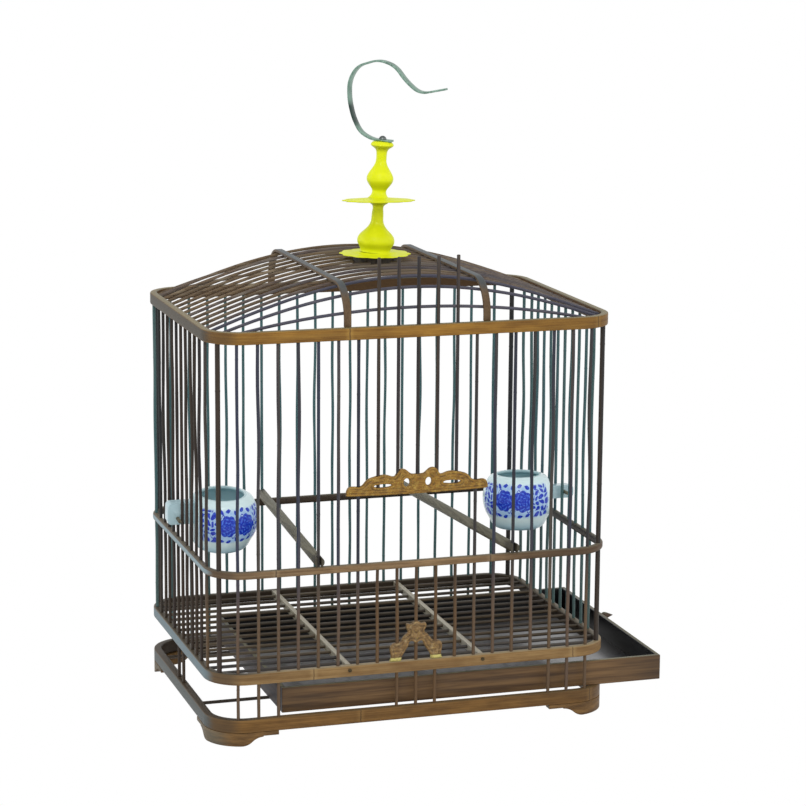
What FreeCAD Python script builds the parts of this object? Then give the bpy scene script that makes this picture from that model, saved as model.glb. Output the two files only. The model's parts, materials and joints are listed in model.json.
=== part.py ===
import FreeCAD, Part
import math
import os
import Sketcher
from FreeCAD import Placement, Rotation, Vector

# Bird cage with a rounded rectangular plan. The origin is the middle of the
# four feet on the surface the cage stands on. X runs along the cage, the door
# is at the front (-Y) and Z is up. Millimetres and degrees.

driving_sizes = [
    # plan of the cage and the levels of its rings
    ("cage_width", 373), ("cage_depth", 267), ("corner_radius", 34),
    ("foot_height", 12), ("base_ring_height", 12), ("base_ring_thickness", 7),
    ("floor_ring_level", 55.4), ("floor_ring_height", 10.1), ("ring_thickness", 6.4),
    ("mid_ring_level", 150.3), ("mid_ring_height", 7), ("mid_ring_thickness", 5.5),
    ("mid_ring_inset", 0.3), ("top_ring_level", 356.6), ("top_ring_height", 10.8),
    # upright bars, whose rows end short of the ring's corners
    ("front_bar_margin", 8.5), ("back_bar_margin", 11.3), ("back_bar_shift", -2.3),
    ("side_bar_margin", 18.5), ("bar_radius", 1.6), ("bar_inset", 3.2), ("post_radius", 2.25),
    ("bar_head_depth", 4), ("corner_bar_angle", 18), ("corner_post_angle", 51),
    ("end_corner_bar_angle", 85),
    # floor grille
    ("floor_rod_margin", 19.1), ("floor_rod_radius", 1.5), ("floor_rod_level", 62.9),
    ("floor_rod_seat", 1.2), ("batten_steps", 3.44), ("batten_width", 4.5),
    ("batten_height", 6), ("batten_level", 59.4), ("nail_radius", 0.8), ("nail_length", 12),
    ("nail_head_radius", 1.7), ("nail_head_height", 0.7), ("nail_level", 61.5),
    # feet
    ("foot_leg_length", 60), ("foot_thickness", 9), ("foot_flat_length", 26),
    ("foot_ogee_length", 20), ("foot_tail_height", 4.4), ("foot_tail_step", 0.8),
    # tray and the runner rods that carry it
    ("tray_end_room", 13), ("tray_side_room", 10.7), ("tray_wall_height", 23),
    ("tray_wall_thickness", 4), ("tray_bottom_thickness", 3), ("tray_clearance", 0.3),
    ("tray_pulled_out", 52.5), ("runner_radius", 1.5), ("runner_drop", 0.3),
    ("runner_front_inset", 64.5), ("runner_back_inset", 56.5), ("runner_seat", 3),
    ("tray_knob_place", 29), ("tray_knob_drop", 4.6), ("tray_knob_length", 14),
    ("tray_knob_radius", 3.4),
    # sliding door
    ("door_end_length", 11), ("door_level", 218), ("door_rail_height", 22), ("door_rail_thickness", 5.4),
    ("door_bar_top", 427), ("door_bar_cover", 2), ("door_clearance", 0.1),
    # roof
    ("roof_rod_radius", 1.4), ("roof_rod_margin", 33.6), ("roof_rod_seat", 3),
    ("roof_rod_drop", 3.9), ("roof_rise", 6), ("rib_spacing", 127), ("rib_width", 6.5),
    ("rib_thickness", 2.5), ("rib_inset", 5.3), ("rib_foot_height", 5.35), ("rib_bend_radius", 30),
    ("rib_rod_gap", 0.85),
    ("low_rod_angle", 14), ("high_rod_angle", 50),
    # finial, which leans a little towards the tray's pull end
    ("finial_lean", 3.7), ("boss_rim_width", 3.35), ("boss_height", 11), ("boss_seat", 10),
    ("boss_top_level", 411), ("plate_radius", 32.7), ("plate_thickness", 2.2),
    ("lobe_depth", 2.6), ("lower_turning_radius", 17), ("lower_turning_height", 47),
    ("disc_radius", 33.4), ("disc_thickness", 2), ("upper_turning_radius", 12.1),
    ("upper_turning_height", 51), ("finial_rod_radius", 2), ("rivet_head_radius", 3.5),
    ("rivet_head_height", 3), ("nut_height", 3.2), ("nut_width", 7), ("washer_radius", 6),
    ("washer_thickness", 1),
    # hook of flat strip
    ("hook_width", 8), ("hook_thickness", 1.8), ("hook_angle", -38), ("hook_clearance", 0.25),
    ("hook_bore_clearance", 0.1), ("hook_seat_length", 18.4), ("hook_height", 69.5), ("hook_reach", 60.4),
    # perches
    ("perch_radius", 4.5), ("perch_end_length", 3.5), ("perch_slot_clearance", 0.3),
    ("perch_gap", 0.3),
    # porcelain cups
    ("cup_radius", 33.5), ("cup_height", 50.5), ("cup_wall", 2.8), ("cup_left_inset", 42),
    ("cup_right_inset", 44.1), ("cup_level", 146.5), ("cup_flat", 26), ("cup_left_tilt", 6.5),
    ("cup_right_tilt", -2.3), ("cup_rim_thickness", 1.3),
    ("lug_width", 11.2), ("lug_height", 12), ("lug_level", 172), ("lug_reach", 9.5),
    ("lug_rounding", 4), ("cup_left_lug_extra", 8),
    ("peg_radius", 1.6), ("peg_length", 30), ("peg_gap", 0.3), ("peg_clearance", 0.06),
    # carved ornament on the floor ring
    ("ornament_height", 35.5), ("ornament_end_length", 6.7), ("ornament_thickness", 5),
    # clearances
    ("fit", 0.03), ("overrun", 2),
]

doc = FreeCAD.newDocument("bird_cage")
size = doc.addObject("Spreadsheet::Sheet", "size")
for row, (alias, amount) in enumerate(driving_sizes, start=1):
    size.set(f"A{row}", alias)
    size.set(f"B{row}", str(amount))
    size.setAlias(f"B{row}", alias)
doc.recompute()

# Places that several pieces share, as expressions on the sheet
half_width = "size.cage_width / 2"
half_depth = "size.cage_depth / 2"
corner_x = "(size.cage_width / 2 - size.corner_radius)"
corner_y = "(size.cage_depth / 2 - size.corner_radius)"
bar_x = "(size.cage_width / 2 - size.bar_inset)"
bar_y = "(size.cage_depth / 2 - size.bar_inset)"
bar_arc = "(size.corner_radius - size.bar_inset)"
front_steps = 8
back_steps = 8
side_steps = 4.5
bar_pitch = f"(({corner_x} - size.front_bar_margin) / {front_steps})"
back_pitch = f"(({corner_x} - size.back_bar_margin) / {back_steps})"
side_pitch = f"(({corner_y} - size.side_bar_margin) / {side_steps})"
base_ring_top = "(size.foot_height + size.base_ring_height)"
floor_ring_top = "(size.floor_ring_level + size.floor_ring_height)"
mid_ring_top = "(size.mid_ring_level + size.mid_ring_height)"
top_ring_top = "(size.top_ring_level + size.top_ring_height)"
bar_head = "(size.top_ring_level + size.bar_head_depth)"
tray_right = f"({half_width} + size.tray_pulled_out)"
tray_left = f"({tray_right} - size.cage_width + size.tray_end_room)"
tray_base = f"({base_ring_top} + size.tray_clearance)"
tray_top = f"({tray_base} + size.tray_wall_height)"

nodes = []


def value(expression):
    return float(size.evalExpression(expression))


def bind(piece, expressions):
    for prop, expression in expressions.items():
        piece.setExpression(prop, expression)
    return piece


def node(piece, label):
    piece.Label = label
    nodes.append(piece)
    return piece


def upright(name, x, y, bottom, top, radius):
    rod = doc.addObject("Part::Cylinder", name)
    return bind(rod, {
        "Radius": radius,
        "Height": f"{top} - ({bottom})",
        "Placement.Base.x": x,
        "Placement.Base.y": y,
        "Placement.Base.z": bottom,
    })


def lying(name, direction, start, length, radius):
    rod = doc.addObject("Part::Cylinder", name)
    rod.Placement = Placement(Vector(), Rotation(Vector(0, 0, 1), direction))
    return bind(rod, {
        "Radius": radius,
        "Height": length,
        "Placement.Base.x": start[0],
        "Placement.Base.y": start[1],
        "Placement.Base.z": start[2],
    })


def board(name, low, high):
    piece = doc.addObject("Part::Box", name)
    return bind(piece, {
        "Length": f"{high[0]} - ({low[0]})",
        "Width": f"{high[1]} - ({low[1]})",
        "Height": f"{high[2]} - ({low[2]})",
        "Placement.Base.x": low[0],
        "Placement.Base.y": low[1],
        "Placement.Base.z": low[2],
    })


def group(name, pieces):
    compound = doc.addObject("Part::Compound", name)
    compound.Links = pieces
    return compound


def cut(name, base, tool):
    piece = doc.addObject("Part::Cut", name)
    piece.Base = base
    piece.Tool = tool
    return piece


def feature(name, shape):
    piece = doc.addObject("Part::Feature", name)
    piece.Shape = shape
    return piece


# Rings: a rounded rectangle inside another, drawn on XY and padded upwards

def rounded_rectangle(sketch, prefix, half_x, half_y, radius):
    first = len(sketch.Geometry)
    reach_x = value(half_x) - value(radius)
    reach_y = value(half_y) - value(radius)
    corners = [(reach_x, reach_y), (-reach_x, reach_y), (-reach_x, -reach_y), (reach_x, -reach_y)]
    quarter = math.pi / 2
    for turn, (x, y) in enumerate(corners):
        circle = Part.Circle(Vector(x, y, 0), Vector(0, 0, 1), value(radius))
        sketch.addGeometry(Part.ArcOfCircle(circle, turn * quarter, (turn + 1) * quarter), False)
    for turn in range(4):
        start = sketch.Geometry[first + turn].EndPoint
        end = sketch.Geometry[first + (turn + 1) % 4].StartPoint
        sketch.addGeometry(Part.LineSegment(start, end), False)
    for turn in range(4):
        line = first + 4 + turn
        sketch.addConstraint(Sketcher.Constraint("Tangent", first + turn, 2, line, 1))
        sketch.addConstraint(Sketcher.Constraint("Tangent", line, 2, first + (turn + 1) % 4, 1))
        direction = "Vertical" if turn % 2 else "Horizontal"
        sketch.addConstraint(Sketcher.Constraint(direction, line))
    for turn in range(1, 4):
        sketch.addConstraint(Sketcher.Constraint("Equal", first, first + turn))
    sketch.addConstraint(Sketcher.Constraint("Symmetric", first, 3, first + 2, 3, -1, 1))
    measures = [
        ("radius", Sketcher.Constraint("Radius", first, value(radius)), radius),
        ("reach_x", Sketcher.Constraint("DistanceX", -1, 1, first, 3, reach_x), f"{half_x} - ({radius})"),
        ("reach_y", Sketcher.Constraint("DistanceY", -1, 1, first, 3, reach_y), f"{half_y} - ({radius})"),
    ]
    for name, constraint, expression in measures:
        index = sketch.addConstraint(constraint)
        sketch.renameConstraint(index, f"{prefix}_{name}")
        sketch.setExpression(f"Constraints.{prefix}_{name}", expression)


def ring(name, level, height, thickness, inset):
    body = doc.addObject("PartDesign::Body", f"{name}_blank")
    plane = next(item for item in body.Origin.OriginFeatures if item.Role == "XY_Plane")
    sketch = body.newObject("Sketcher::SketchObject", f"{name}_plan")
    sketch.AttachmentSupport = [(plane, "")]
    sketch.MapMode = "FlatFace"
    rounded_rectangle(sketch, "outer", f"{half_width} - {inset}", f"{half_depth} - {inset}",
                      f"size.corner_radius - {inset}")
    rounded_rectangle(sketch, "inner", f"{half_width} - {inset} - {thickness}",
                      f"{half_depth} - {inset} - {thickness}", f"size.corner_radius - {inset} - {thickness}")
    pad = body.newObject("PartDesign::Pad", f"{name}_pad")
    pad.Profile = sketch
    bind(pad, {"Length": height})
    bind(body, {"Placement.Base.z": level})
    return body


# Upright bars. Each place is (x, y, bottom, top, radius) as expressions.

floor_bottom = "size.floor_ring_level"
base_bottom = "size.foot_height"
guide_step = 3
door_step = 2
long_steps = (-8, -7, -1, 0, 1, 7, 8)
tray_stop_steps = (-1, 0)
side_rows = 5


def front_place(step):
    return f"{bar_pitch} * {step}", f"-{bar_y}"


def back_place(step):
    return f"size.back_bar_shift + {back_pitch} * {step}", bar_y


def bar_bottom(step):
    return base_bottom if step in long_steps else floor_bottom


def corner_place(sign_x, sign_y, angle):
    return (f"{sign_x} * ({corner_x} + {bar_arc} * sin({angle} * 1 deg))",
            f"{sign_y} * ({corner_y} + {bar_arc} * cos({angle} * 1 deg))")


lower_head = "(size.mid_ring_level + size.bar_head_depth)"
bar_groups = {"front_bars": [], "front_lower_bars": [], "back_bars": [], "left_bars": [],
              "right_bars": [], "corner_bars": [], "corner_posts": []}
for step in range(-front_steps, front_steps + 1):
    behind_door = abs(step) <= door_step
    key = "front_lower_bars" if behind_door else "front_bars"
    head = lower_head if behind_door else bar_head
    bar_groups[key].append((*front_place(step), bar_bottom(step), head, "size.bar_radius"))
for step in range(-back_steps, back_steps + 1):
    bar_groups["back_bars"].append((*back_place(step), bar_bottom(step), bar_head, "size.bar_radius"))
for key, sign in (("left_bars", -1), ("right_bars", 1)):
    for step in range(-side_rows, side_rows):
        stops_tray = key == "left_bars" and step in tray_stop_steps
        foot = base_bottom if stops_tray else floor_bottom
        place = f"{side_pitch} * {step + 0.5}"
        bar_groups[key].append((f"{sign} * {bar_x}", place, foot, bar_head, "size.bar_radius"))
for sign_x in (-1, 1):
    for sign_y in (-1, 1):
        near = corner_place(sign_x, sign_y, "size.corner_bar_angle")
        far = corner_place(sign_x, sign_y, "size.end_corner_bar_angle")
        post = corner_place(sign_x, sign_y, "size.corner_post_angle")
        bar_groups["corner_bars"].append((*near, base_bottom, bar_head, "size.bar_radius"))
        bar_groups["corner_bars"].append((*far, floor_bottom, bar_head, "size.bar_radius"))
        bar_groups["corner_posts"].append((*post, floor_bottom, bar_head, "size.post_radius"))

bar_drills = []
for key, places in bar_groups.items():
    bars = []
    for count, (x, y, bottom, top, radius) in enumerate(places):
        bars.append(upright(f"{key}_{count}", x, y, bottom, top, radius))
        bar_drills.append(upright(f"{key}_{count}_drill", x, y, f"{bottom} - size.overrun",
                                  f"{top} + size.fit", f"{radius} + size.fit"))
    node(group(f"{key}_set", bars), key)

door_drills = []
door_bars = []
for step in range(-door_step, door_step + 1):
    x, y = front_place(step)
    door_bars.append(upright(f"door_bar_{step + door_step}", x, y, "size.door_level + size.door_bar_cover",
                             "size.door_bar_top", "size.bar_radius"))
    door_drills.append(upright(f"door_bar_{step + door_step}_drill", x, y,
                               "size.top_ring_level - size.overrun", f"{top_ring_top} + size.overrun",
                               "size.bar_radius + size.door_clearance"))
node(group("door_bar_set", door_bars), "door_bars")


# Bent pieces: straight runs joined by tangent arcs, in a flat plane

def turned_left(direction):
    return Vector(-direction.y, direction.x, 0)


def route(points, radii, offset=0):
    """Edges along points in the XY plane, moved to their left by offset."""
    edges = []
    pen = None
    for place, point in enumerate(points):
        if place == 0:
            ahead = (points[1] - point).normalize()
            pen = point + turned_left(ahead) * offset
            continue
        back = (point - points[place - 1]).normalize()
        if place == len(points) - 1:
            edges.append(Part.LineSegment(pen, point + turned_left(back) * offset).toShape())
            continue
        ahead = (points[place + 1] - point).normalize()
        side = 1 if back.cross(ahead).z > 0 else -1
        radius = radii[place - 1]
        half_turn = back.getAngle(ahead) / 2
        setback = radius * math.tan(half_turn)
        enter = point - back * setback
        leave = point + ahead * setback
        centre = enter + turned_left(back) * (side * radius)
        curved = radius - side * offset
        start = centre - turned_left(back) * (side * curved)
        middle = centre + (point - centre).normalize() * curved
        end = centre - turned_left(ahead) * (side * curved)
        edges.append(Part.LineSegment(pen, start).toShape())
        edges.append(Part.Arc(start, middle, end).toShape())
        pen = end
    return edges


def bent_strip(points, radii, thickness, width):
    """A strip bent along points in XY, its width centred on that plane."""
    points = [point - Vector(0, 0, width / 2) for point in points]
    upper = route(points, radii, thickness / 2)
    lower = route(points, radii, -thickness / 2)
    near = Part.LineSegment(lower[0].Vertexes[0].Point, upper[0].Vertexes[0].Point).toShape()
    far = Part.LineSegment(upper[-1].Vertexes[-1].Point, lower[-1].Vertexes[-1].Point).toShape()
    outline = Part.Wire(Part.__sortEdges__(upper + lower + [near, far]))
    return Part.Face(outline).extrude(Vector(0, 0, width))


def bent_rod(points, radii, radius):
    path = Part.Wire(route(points, radii))
    direction = (points[1] - points[0]).normalize()
    section = Part.Wire(Part.Circle(points[0], direction, radius).toShape())
    return path.makePipeShell([section], True, True)


# Turned and carved pieces: a curve through points given as shares of a reach and a height

def smooth_edge(points):
    curve = Part.BSplineCurve()
    curve.interpolate(points)
    return curve.toShape()


def turned(shares, radius, height, bore):
    points = [Vector(out * radius, 0, up * height) for out, up in shares]
    inner_top = Vector(bore, 0, points[-1].z)
    inner_bottom = Vector(bore, 0, points[0].z)
    edges = [
        smooth_edge(points),
        Part.LineSegment(points[-1], inner_top).toShape(),
        Part.LineSegment(inner_top, inner_bottom).toShape(),
        Part.LineSegment(inner_bottom, points[0]).toShape(),
    ]
    return Part.Face(Part.Wire(edges)).revolve(Vector(), Vector(0, 0, 1), 360)


def lobed_disc(radius, lobe_depth, lobes, thickness, bore):
    edges = []
    step = 2 * math.pi / lobes
    valley = radius - lobe_depth
    for lobe in range(lobes):
        angles = (lobe * step, (lobe + 0.5) * step, (lobe + 1) * step)
        reaches = (valley, radius, valley)
        ends = [Vector(reach * math.cos(a), reach * math.sin(a), 0) for reach, a in zip(reaches, angles)]
        edges.append(Part.Arc(*ends).toShape())
    disc = Part.Face(Part.Wire(edges)).extrude(Vector(0, 0, thickness))
    return disc.cut(Part.makeCylinder(bore, thickness + 2 * size.overrun, Vector(0, 0, -size.overrun)))


# Roof: rods that run along the cage under two bent ribs

top_face = value(top_ring_top)
rib_x = size.rib_spacing / 2
rib_start_y = value(half_depth) - size.rib_inset
rib_bend = size.rib_bend_radius
rib_bend_z = top_face + size.rib_foot_height
rib_top_z = rib_bend_z + rib_bend


def roof_rod_end(y):
    """Half length between the top ring's inner faces at this y."""
    inner_radius = size.corner_radius - size.ring_thickness
    past_corner = abs(y) - value(corner_y)
    if past_corner <= 0:
        return value(half_width) - size.ring_thickness
    return value(corner_x) + math.sqrt(inner_radius ** 2 - past_corner ** 2)


def roof_arch(face_x, shoulder_z):
    """The height and the slope of a rod at a distance from its middle, as two functions."""
    end_z = top_face - size.roof_rod_drop
    rise = size.roof_rise * (shoulder_z - end_z) / (flat_shoulder_z - end_z)
    crown_z = shoulder_z + rise
    near = -rise / rib_x ** 2
    far = (end_z - crown_z) / face_x ** 2
    fourth = (far - near) / (face_x ** 2 - rib_x ** 2)
    second = near - fourth * rib_x ** 2
    return (lambda x: crown_z + second * x ** 2 + fourth * x ** 4,
            lambda x: 2 * second * x + 4 * fourth * x ** 3)


def roof_rod_route(y, shoulder_z):
    """Points and bend radii of the rod at this y, which passes under the ribs at shoulder_z."""
    face_x = roof_rod_end(y)
    height, slope = roof_arch(face_x, shoulder_z)
    stations = [-face_x, -(face_x + rib_x) / 2, -rib_x, 0, rib_x, (face_x + rib_x) / 2, face_x]
    touches = [Vector(x, height(x), 0) for x in stations]
    seat_end = touches[-1] + Vector(1, slope(face_x), 0).normalize() * size.roof_rod_seat
    points = [Vector(-seat_end.x, seat_end.y, 0)]
    radii = []
    for before, after in zip(touches, touches[1:]):
        fall_before = slope(before.x)
        fall_after = slope(after.x)
        x = (after.y - before.y + fall_before * before.x - fall_after * after.x) / (fall_before - fall_after)
        corner = Vector(x, before.y + fall_before * (x - before.x), 0)
        half_turn = (corner - before).getAngle(after - corner) / 2
        run = min((corner - before).Length, (after - corner).Length)
        points.append(corner)
        radii.append(roof_bend_share * run / math.tan(half_turn))
    return points + [seat_end], radii


def stand_in_plane(shape, y):
    """From the drawing plane XY to the upright plane XZ at this y."""
    shape.Placement = Placement(Vector(0, y, 0), Rotation(Vector(1, 0, 0), 90)).multiply(shape.Placement)
    return shape


rod_under_rib = size.rib_thickness / 2 + size.rib_rod_gap + size.roof_rod_radius
flat_shoulder_z = rib_top_z - rod_under_rib
roof_bend_share = 0.98
flat_rows = 6
roof_pitch = (value(half_depth) - size.roof_rod_margin) / flat_rows
roof_places = [(roof_pitch * row, flat_shoulder_z) for row in range(-flat_rows, flat_rows + 1)]
under_rib = rib_bend - rod_under_rib
for angle in (size.low_rod_angle, size.high_rod_angle):
    out = under_rib * math.cos(math.radians(angle))
    up = under_rib * math.sin(math.radians(angle))
    for side in (-1, 1):
        roof_places.append((side * (rib_start_y - rib_bend + out), rib_bend_z + up))

boss_radius = roof_pitch + size.boss_rim_width
boss_gap_radius = boss_radius - size.boss_seat
roof_rods = []
roof_drills = []
for y, shoulder_z in roof_places:
    points, radii = roof_rod_route(y, shoulder_z)
    rod = stand_in_plane(bent_rod(points, radii, size.roof_rod_radius), y)
    if y == 0:
        middle = Part.makeCylinder(boss_gap_radius, 2 * size.boss_height + 2 * size.overrun,
                                   Vector(0, 0, shoulder_z - size.boss_height))
        rod = rod.cut(middle)
    roof_rods.extend(rod.Solids)
    for end, inner in ((points[0], points[1]), (points[-1], points[-2])):
        inward = (inner - end).normalize()
        drill = Part.makeCylinder(size.roof_rod_radius + size.fit,
                                  2 * size.roof_rod_seat + size.ring_thickness,
                                  end - inward * size.fit, inward)
        roof_drills.append(stand_in_plane(drill, y))
node(feature("roof_rod_set", Part.makeCompound(roof_rods)), "roof_rods")
roof_drill_set = feature("roof_drills", Part.makeCompound(roof_drills))

rib_points = [Vector(-rib_start_y, top_face, 0), Vector(-rib_start_y, rib_top_z, 0),
              Vector(rib_start_y, rib_top_z, 0), Vector(rib_start_y, top_face, 0)]
for label, side in (("roof_rib_left", -1), ("roof_rib_right", 1)):
    rib = feature(label, bent_strip(rib_points, [rib_bend, rib_bend], size.rib_thickness, size.rib_width))
    rib.Placement = Placement(Vector(side * rib_x, 0, 0), Rotation(Vector(1, 1, 1), 120))
    node(rib, label)

# Rings with their drilled holes

bar_drill_set = group("bar_drill_set", bar_drills)
door_drill_set = group("door_drill_set", door_drills)

runner_level = f"({base_ring_top} - size.runner_drop - size.runner_radius)"
runner_start = f"(-{half_width} + size.base_ring_thickness - size.runner_seat)"
runners = []
runner_drills = []
runner_places = {
    "front": f"-{half_depth} + size.runner_front_inset",
    "back": f"{half_depth} - size.runner_back_inset",
}
for name, place in runner_places.items():
    runners.append(lying(f"runner_{name}", Vector(1, 0, 0), (runner_start, place, runner_level),
                         f"-2 * {runner_start}", "size.runner_radius"))
    runner_drills.append(lying(f"runner_{name}_drill", Vector(1, 0, 0),
                               (f"{runner_start} - size.fit", place, runner_level),
                               f"-2 * {runner_start} + 2 * size.fit", "size.runner_radius + size.fit"))
node(group("runner_set", runners), "tray_runners")

floor_rods = []
floor_rod_drills = []
floor_rod_rows = 7
floor_pitch = f"(({half_depth} - size.floor_rod_margin) / {floor_rod_rows - 0.5})"
inner_arc = "(size.corner_radius - size.ring_thickness)"
for row in range(-floor_rod_rows, floor_rod_rows):
    place = f"{floor_pitch} * {row + 0.5}"
    past_corner = f"max(0; abs({place}) - {corner_y})"
    reach = f"({corner_x} + sqrt({inner_arc} ^ 2 - {past_corner} ^ 2) + size.floor_rod_seat)"
    floor_rods.append(lying(f"floor_rod_{row + floor_rod_rows}", Vector(1, 0, 0),
                            (f"-{reach}", place, "size.floor_rod_level"), f"2 * {reach}",
                            "size.floor_rod_radius"))
    floor_rod_drills.append(lying(f"floor_rod_{row + floor_rod_rows}_drill", Vector(1, 0, 0),
                                  (f"-{reach} - size.fit", place, "size.floor_rod_level"),
                                  f"2 * {reach} + 2 * size.fit", "size.floor_rod_radius + size.fit"))
node(group("floor_rod_set", floor_rods), "floor_rods")
floor_rod_drill_set = group("floor_rod_drill_set", floor_rod_drills)

batten_x = f"({bar_pitch} * size.batten_steps)"
nails = []
nail_drills = []
for side_name, side in (("left", -1), ("right", 1)):
    for end_name, end in (("front", -1), ("back", 1)):
        corner = f"{end_name}_{side_name}"
        inward = Vector(0, -end, 0)
        face = (f"{side} * {batten_x}", f"{end} * {half_depth}", "size.nail_level")
        shank = lying(f"nail_shank_{corner}", inward, face, "size.nail_length", "size.nail_radius")
        head = lying(f"nail_head_{corner}", -inward, face, "size.nail_head_height", "size.nail_head_radius")
        nail = doc.addObject("Part::Fuse", f"nail_{corner}")
        nail.Base = shank
        nail.Tool = head
        nails.append(nail)
        outside = (face[0], f"{end} * ({half_depth} + size.overrun)", face[2])
        nail_drills.append(lying(f"nail_drill_{corner}", inward, outside,
                                 "size.nail_length + size.overrun + size.fit",
                                 "size.nail_radius + size.fit"))
node(group("nail_set", nails), "batten_nails")
nail_drill_set = group("nail_drill_set", nail_drills)

for label, side in (("floor_batten_left", -1), ("floor_batten_right", 1)):
    x = f"{side} * {batten_x}"
    inner_y = f"({half_depth} - size.ring_thickness)"
    blank = board(f"{label}_blank",
                  (f"{x} - size.batten_width / 2", f"-{inner_y}", "size.batten_level"),
                  (f"{x} + size.batten_width / 2", inner_y, "size.batten_level + size.batten_height"))
    drills = group(f"{label}_drills", [floor_rod_drill_set, nail_drill_set])
    node(cut(f"{label}_drilled", blank, drills), label)

base_ring = ring("base_ring", "size.foot_height", "size.base_ring_height", "size.base_ring_thickness", "0")
node(cut("base_ring_drilled", base_ring, group("base_ring_drills", [bar_drill_set] + runner_drills)),
     "base_ring")
floor_ring = ring("floor_ring", "size.floor_ring_level", "size.floor_ring_height", "size.ring_thickness", "0")
node(cut("floor_ring_drilled", floor_ring,
         group("floor_ring_drills", [bar_drill_set, floor_rod_drill_set, nail_drill_set])), "floor_ring")
mid_ring = ring("mid_ring", "size.mid_ring_level", "size.mid_ring_height", "size.mid_ring_thickness",
                "size.mid_ring_inset")
node(cut("mid_ring_drilled", mid_ring, bar_drill_set), "mid_ring")
top_ring = ring("top_ring", "size.top_ring_level", "size.top_ring_height", "size.ring_thickness", "0")
node(cut("top_ring_drilled", top_ring,
         group("top_ring_drills", [bar_drill_set, door_drill_set, roof_drill_set])), "top_ring")

# Feet: a band round the corner with an ogee under each leg

band_inner = size.corner_radius - size.foot_thickness
leg = size.foot_leg_length - size.corner_radius


def foot_solid():
    corner = size.corner_radius
    half_turn = math.radians(45)
    outline = [
        Part.Arc(Vector(corner, 0, 0), Vector(corner * math.cos(half_turn), corner * math.sin(half_turn), 0),
                 Vector(0, corner, 0)).toShape(),
        Part.LineSegment(Vector(0, corner, 0), Vector(-leg, corner, 0)).toShape(),
        Part.LineSegment(Vector(-leg, corner, 0), Vector(-leg, band_inner, 0)).toShape(),
        Part.LineSegment(Vector(-leg, band_inner, 0), Vector(0, band_inner, 0)).toShape(),
        Part.Arc(Vector(0, band_inner, 0),
                 Vector(band_inner * math.cos(half_turn), band_inner * math.sin(half_turn), 0),
                 Vector(band_inner, 0, 0)).toShape(),
        Part.LineSegment(Vector(band_inner, 0, 0), Vector(band_inner, -leg, 0)).toShape(),
        Part.LineSegment(Vector(band_inner, -leg, 0), Vector(corner, -leg, 0)).toShape(),
        Part.LineSegment(Vector(corner, -leg, 0), Vector(corner, 0, 0)).toShape(),
    ]
    band = Part.Face(Part.Wire(outline)).extrude(Vector(0, 0, size.foot_height))
    rise = size.foot_height - size.foot_tail_height
    start = corner - size.foot_flat_length
    end = start - size.foot_ogee_length
    half_run = size.foot_ogee_length / 2
    bow = (half_run ** 2 + (rise / 2) ** 2) / rise
    quarter = math.asin(half_run / bow) / 2
    dip = bow * (1 - math.cos(quarter))
    drift = bow * math.sin(quarter)
    tail = rise + size.foot_tail_step
    below = -size.overrun
    past = -leg - size.overrun
    middle = Vector(start - half_run, 0, rise / 2)
    profile = Part.Wire([
        Part.Arc(Vector(start, 0, 0), Vector(start - drift, 0, dip), middle).toShape(),
        Part.Arc(middle, Vector(end + drift, 0, rise - dip), Vector(end, 0, rise)).toShape(),
        Part.LineSegment(Vector(end, 0, rise), Vector(end, 0, tail)).toShape(),
        Part.LineSegment(Vector(end, 0, tail), Vector(past, 0, tail)).toShape(),
        Part.LineSegment(Vector(past, 0, tail), Vector(past, 0, below)).toShape(),
        Part.LineSegment(Vector(past, 0, below), Vector(start, 0, below)).toShape(),
        Part.LineSegment(Vector(start, 0, below), Vector(start, 0, 0)).toShape(),
    ])
    hollow = Part.Face(profile).extrude(Vector(0, corner + size.overrun, 0))
    hollow.translate(Vector(0, band_inner - size.overrun, 0))
    mirrored = hollow.mirror(Vector(), Vector(1, -1, 0).normalize())
    return band.cut(hollow).cut(mirrored)


foot_places = [("foot_back_right", 1, 1, 0), ("foot_back_left", -1, 1, 90),
               ("foot_front_left", -1, -1, 180), ("foot_front_right", 1, -1, 270)]
for label, sign_x, sign_y, turn in foot_places:
    foot = feature(label, foot_solid())
    place = Vector(sign_x * value(corner_x), sign_y * value(corner_y), 0)
    foot.Placement = Placement(place, Rotation(Vector(0, 0, 1), turn))
    node(foot, label)

# Carved ornament: two legs under a crown, the right half as shares of its half width and height

ornament_crest = [(0.0, 1.0), (0.12, 0.97), (0.21, 0.93), (0.33, 0.95), (0.38, 0.87), (0.31, 0.73),
                  (0.43, 0.65), (0.56, 0.53), (0.66, 0.47), (0.86, 0.46), (0.98, 0.35), (0.95, 0.18),
                  (1.0, 0.0)]
ornament_reach = value(bar_pitch) + size.ornament_end_length
ornament_arch = [(0.0, 0.42), (0.1, 0.47), (0.2, 0.49), (0.3, 0.38), (0.41, 0.25), (0.54, 0.1), (0.56, 0.0)]


def ornament_edge(right):
    """A smooth edge over the whole width from the shares of its right half, middle first."""
    left = [(-out, up) for out, up in reversed(right[1:])]
    return smooth_edge([Vector(out * ornament_reach, 0, up * size.ornament_height)
                        for out, up in left + right])


def ornament_solid():
    crest = ornament_edge(ornament_crest)
    arch = ornament_edge(ornament_arch)
    soles = [Part.LineSegment(crest.Vertexes[place].Point, arch.Vertexes[place].Point).toShape()
             for place in (0, -1)]
    face = Part.Face(Part.Wire(Part.__sortEdges__([crest, arch] + soles)))
    return face.extrude(Vector(0, size.ornament_thickness, 0))


ornament = feature("ornament_blank", ornament_solid())
ornament_y = -value(bar_y) - size.ornament_thickness / 2
ornament.Placement = Placement(Vector(0, ornament_y, value(floor_ring_top)), Rotation())
node(cut("ornament_drilled", ornament, bar_drill_set), "floor_ornament")

# Sliding door: the carved rail, threaded on two guide bars

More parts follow.
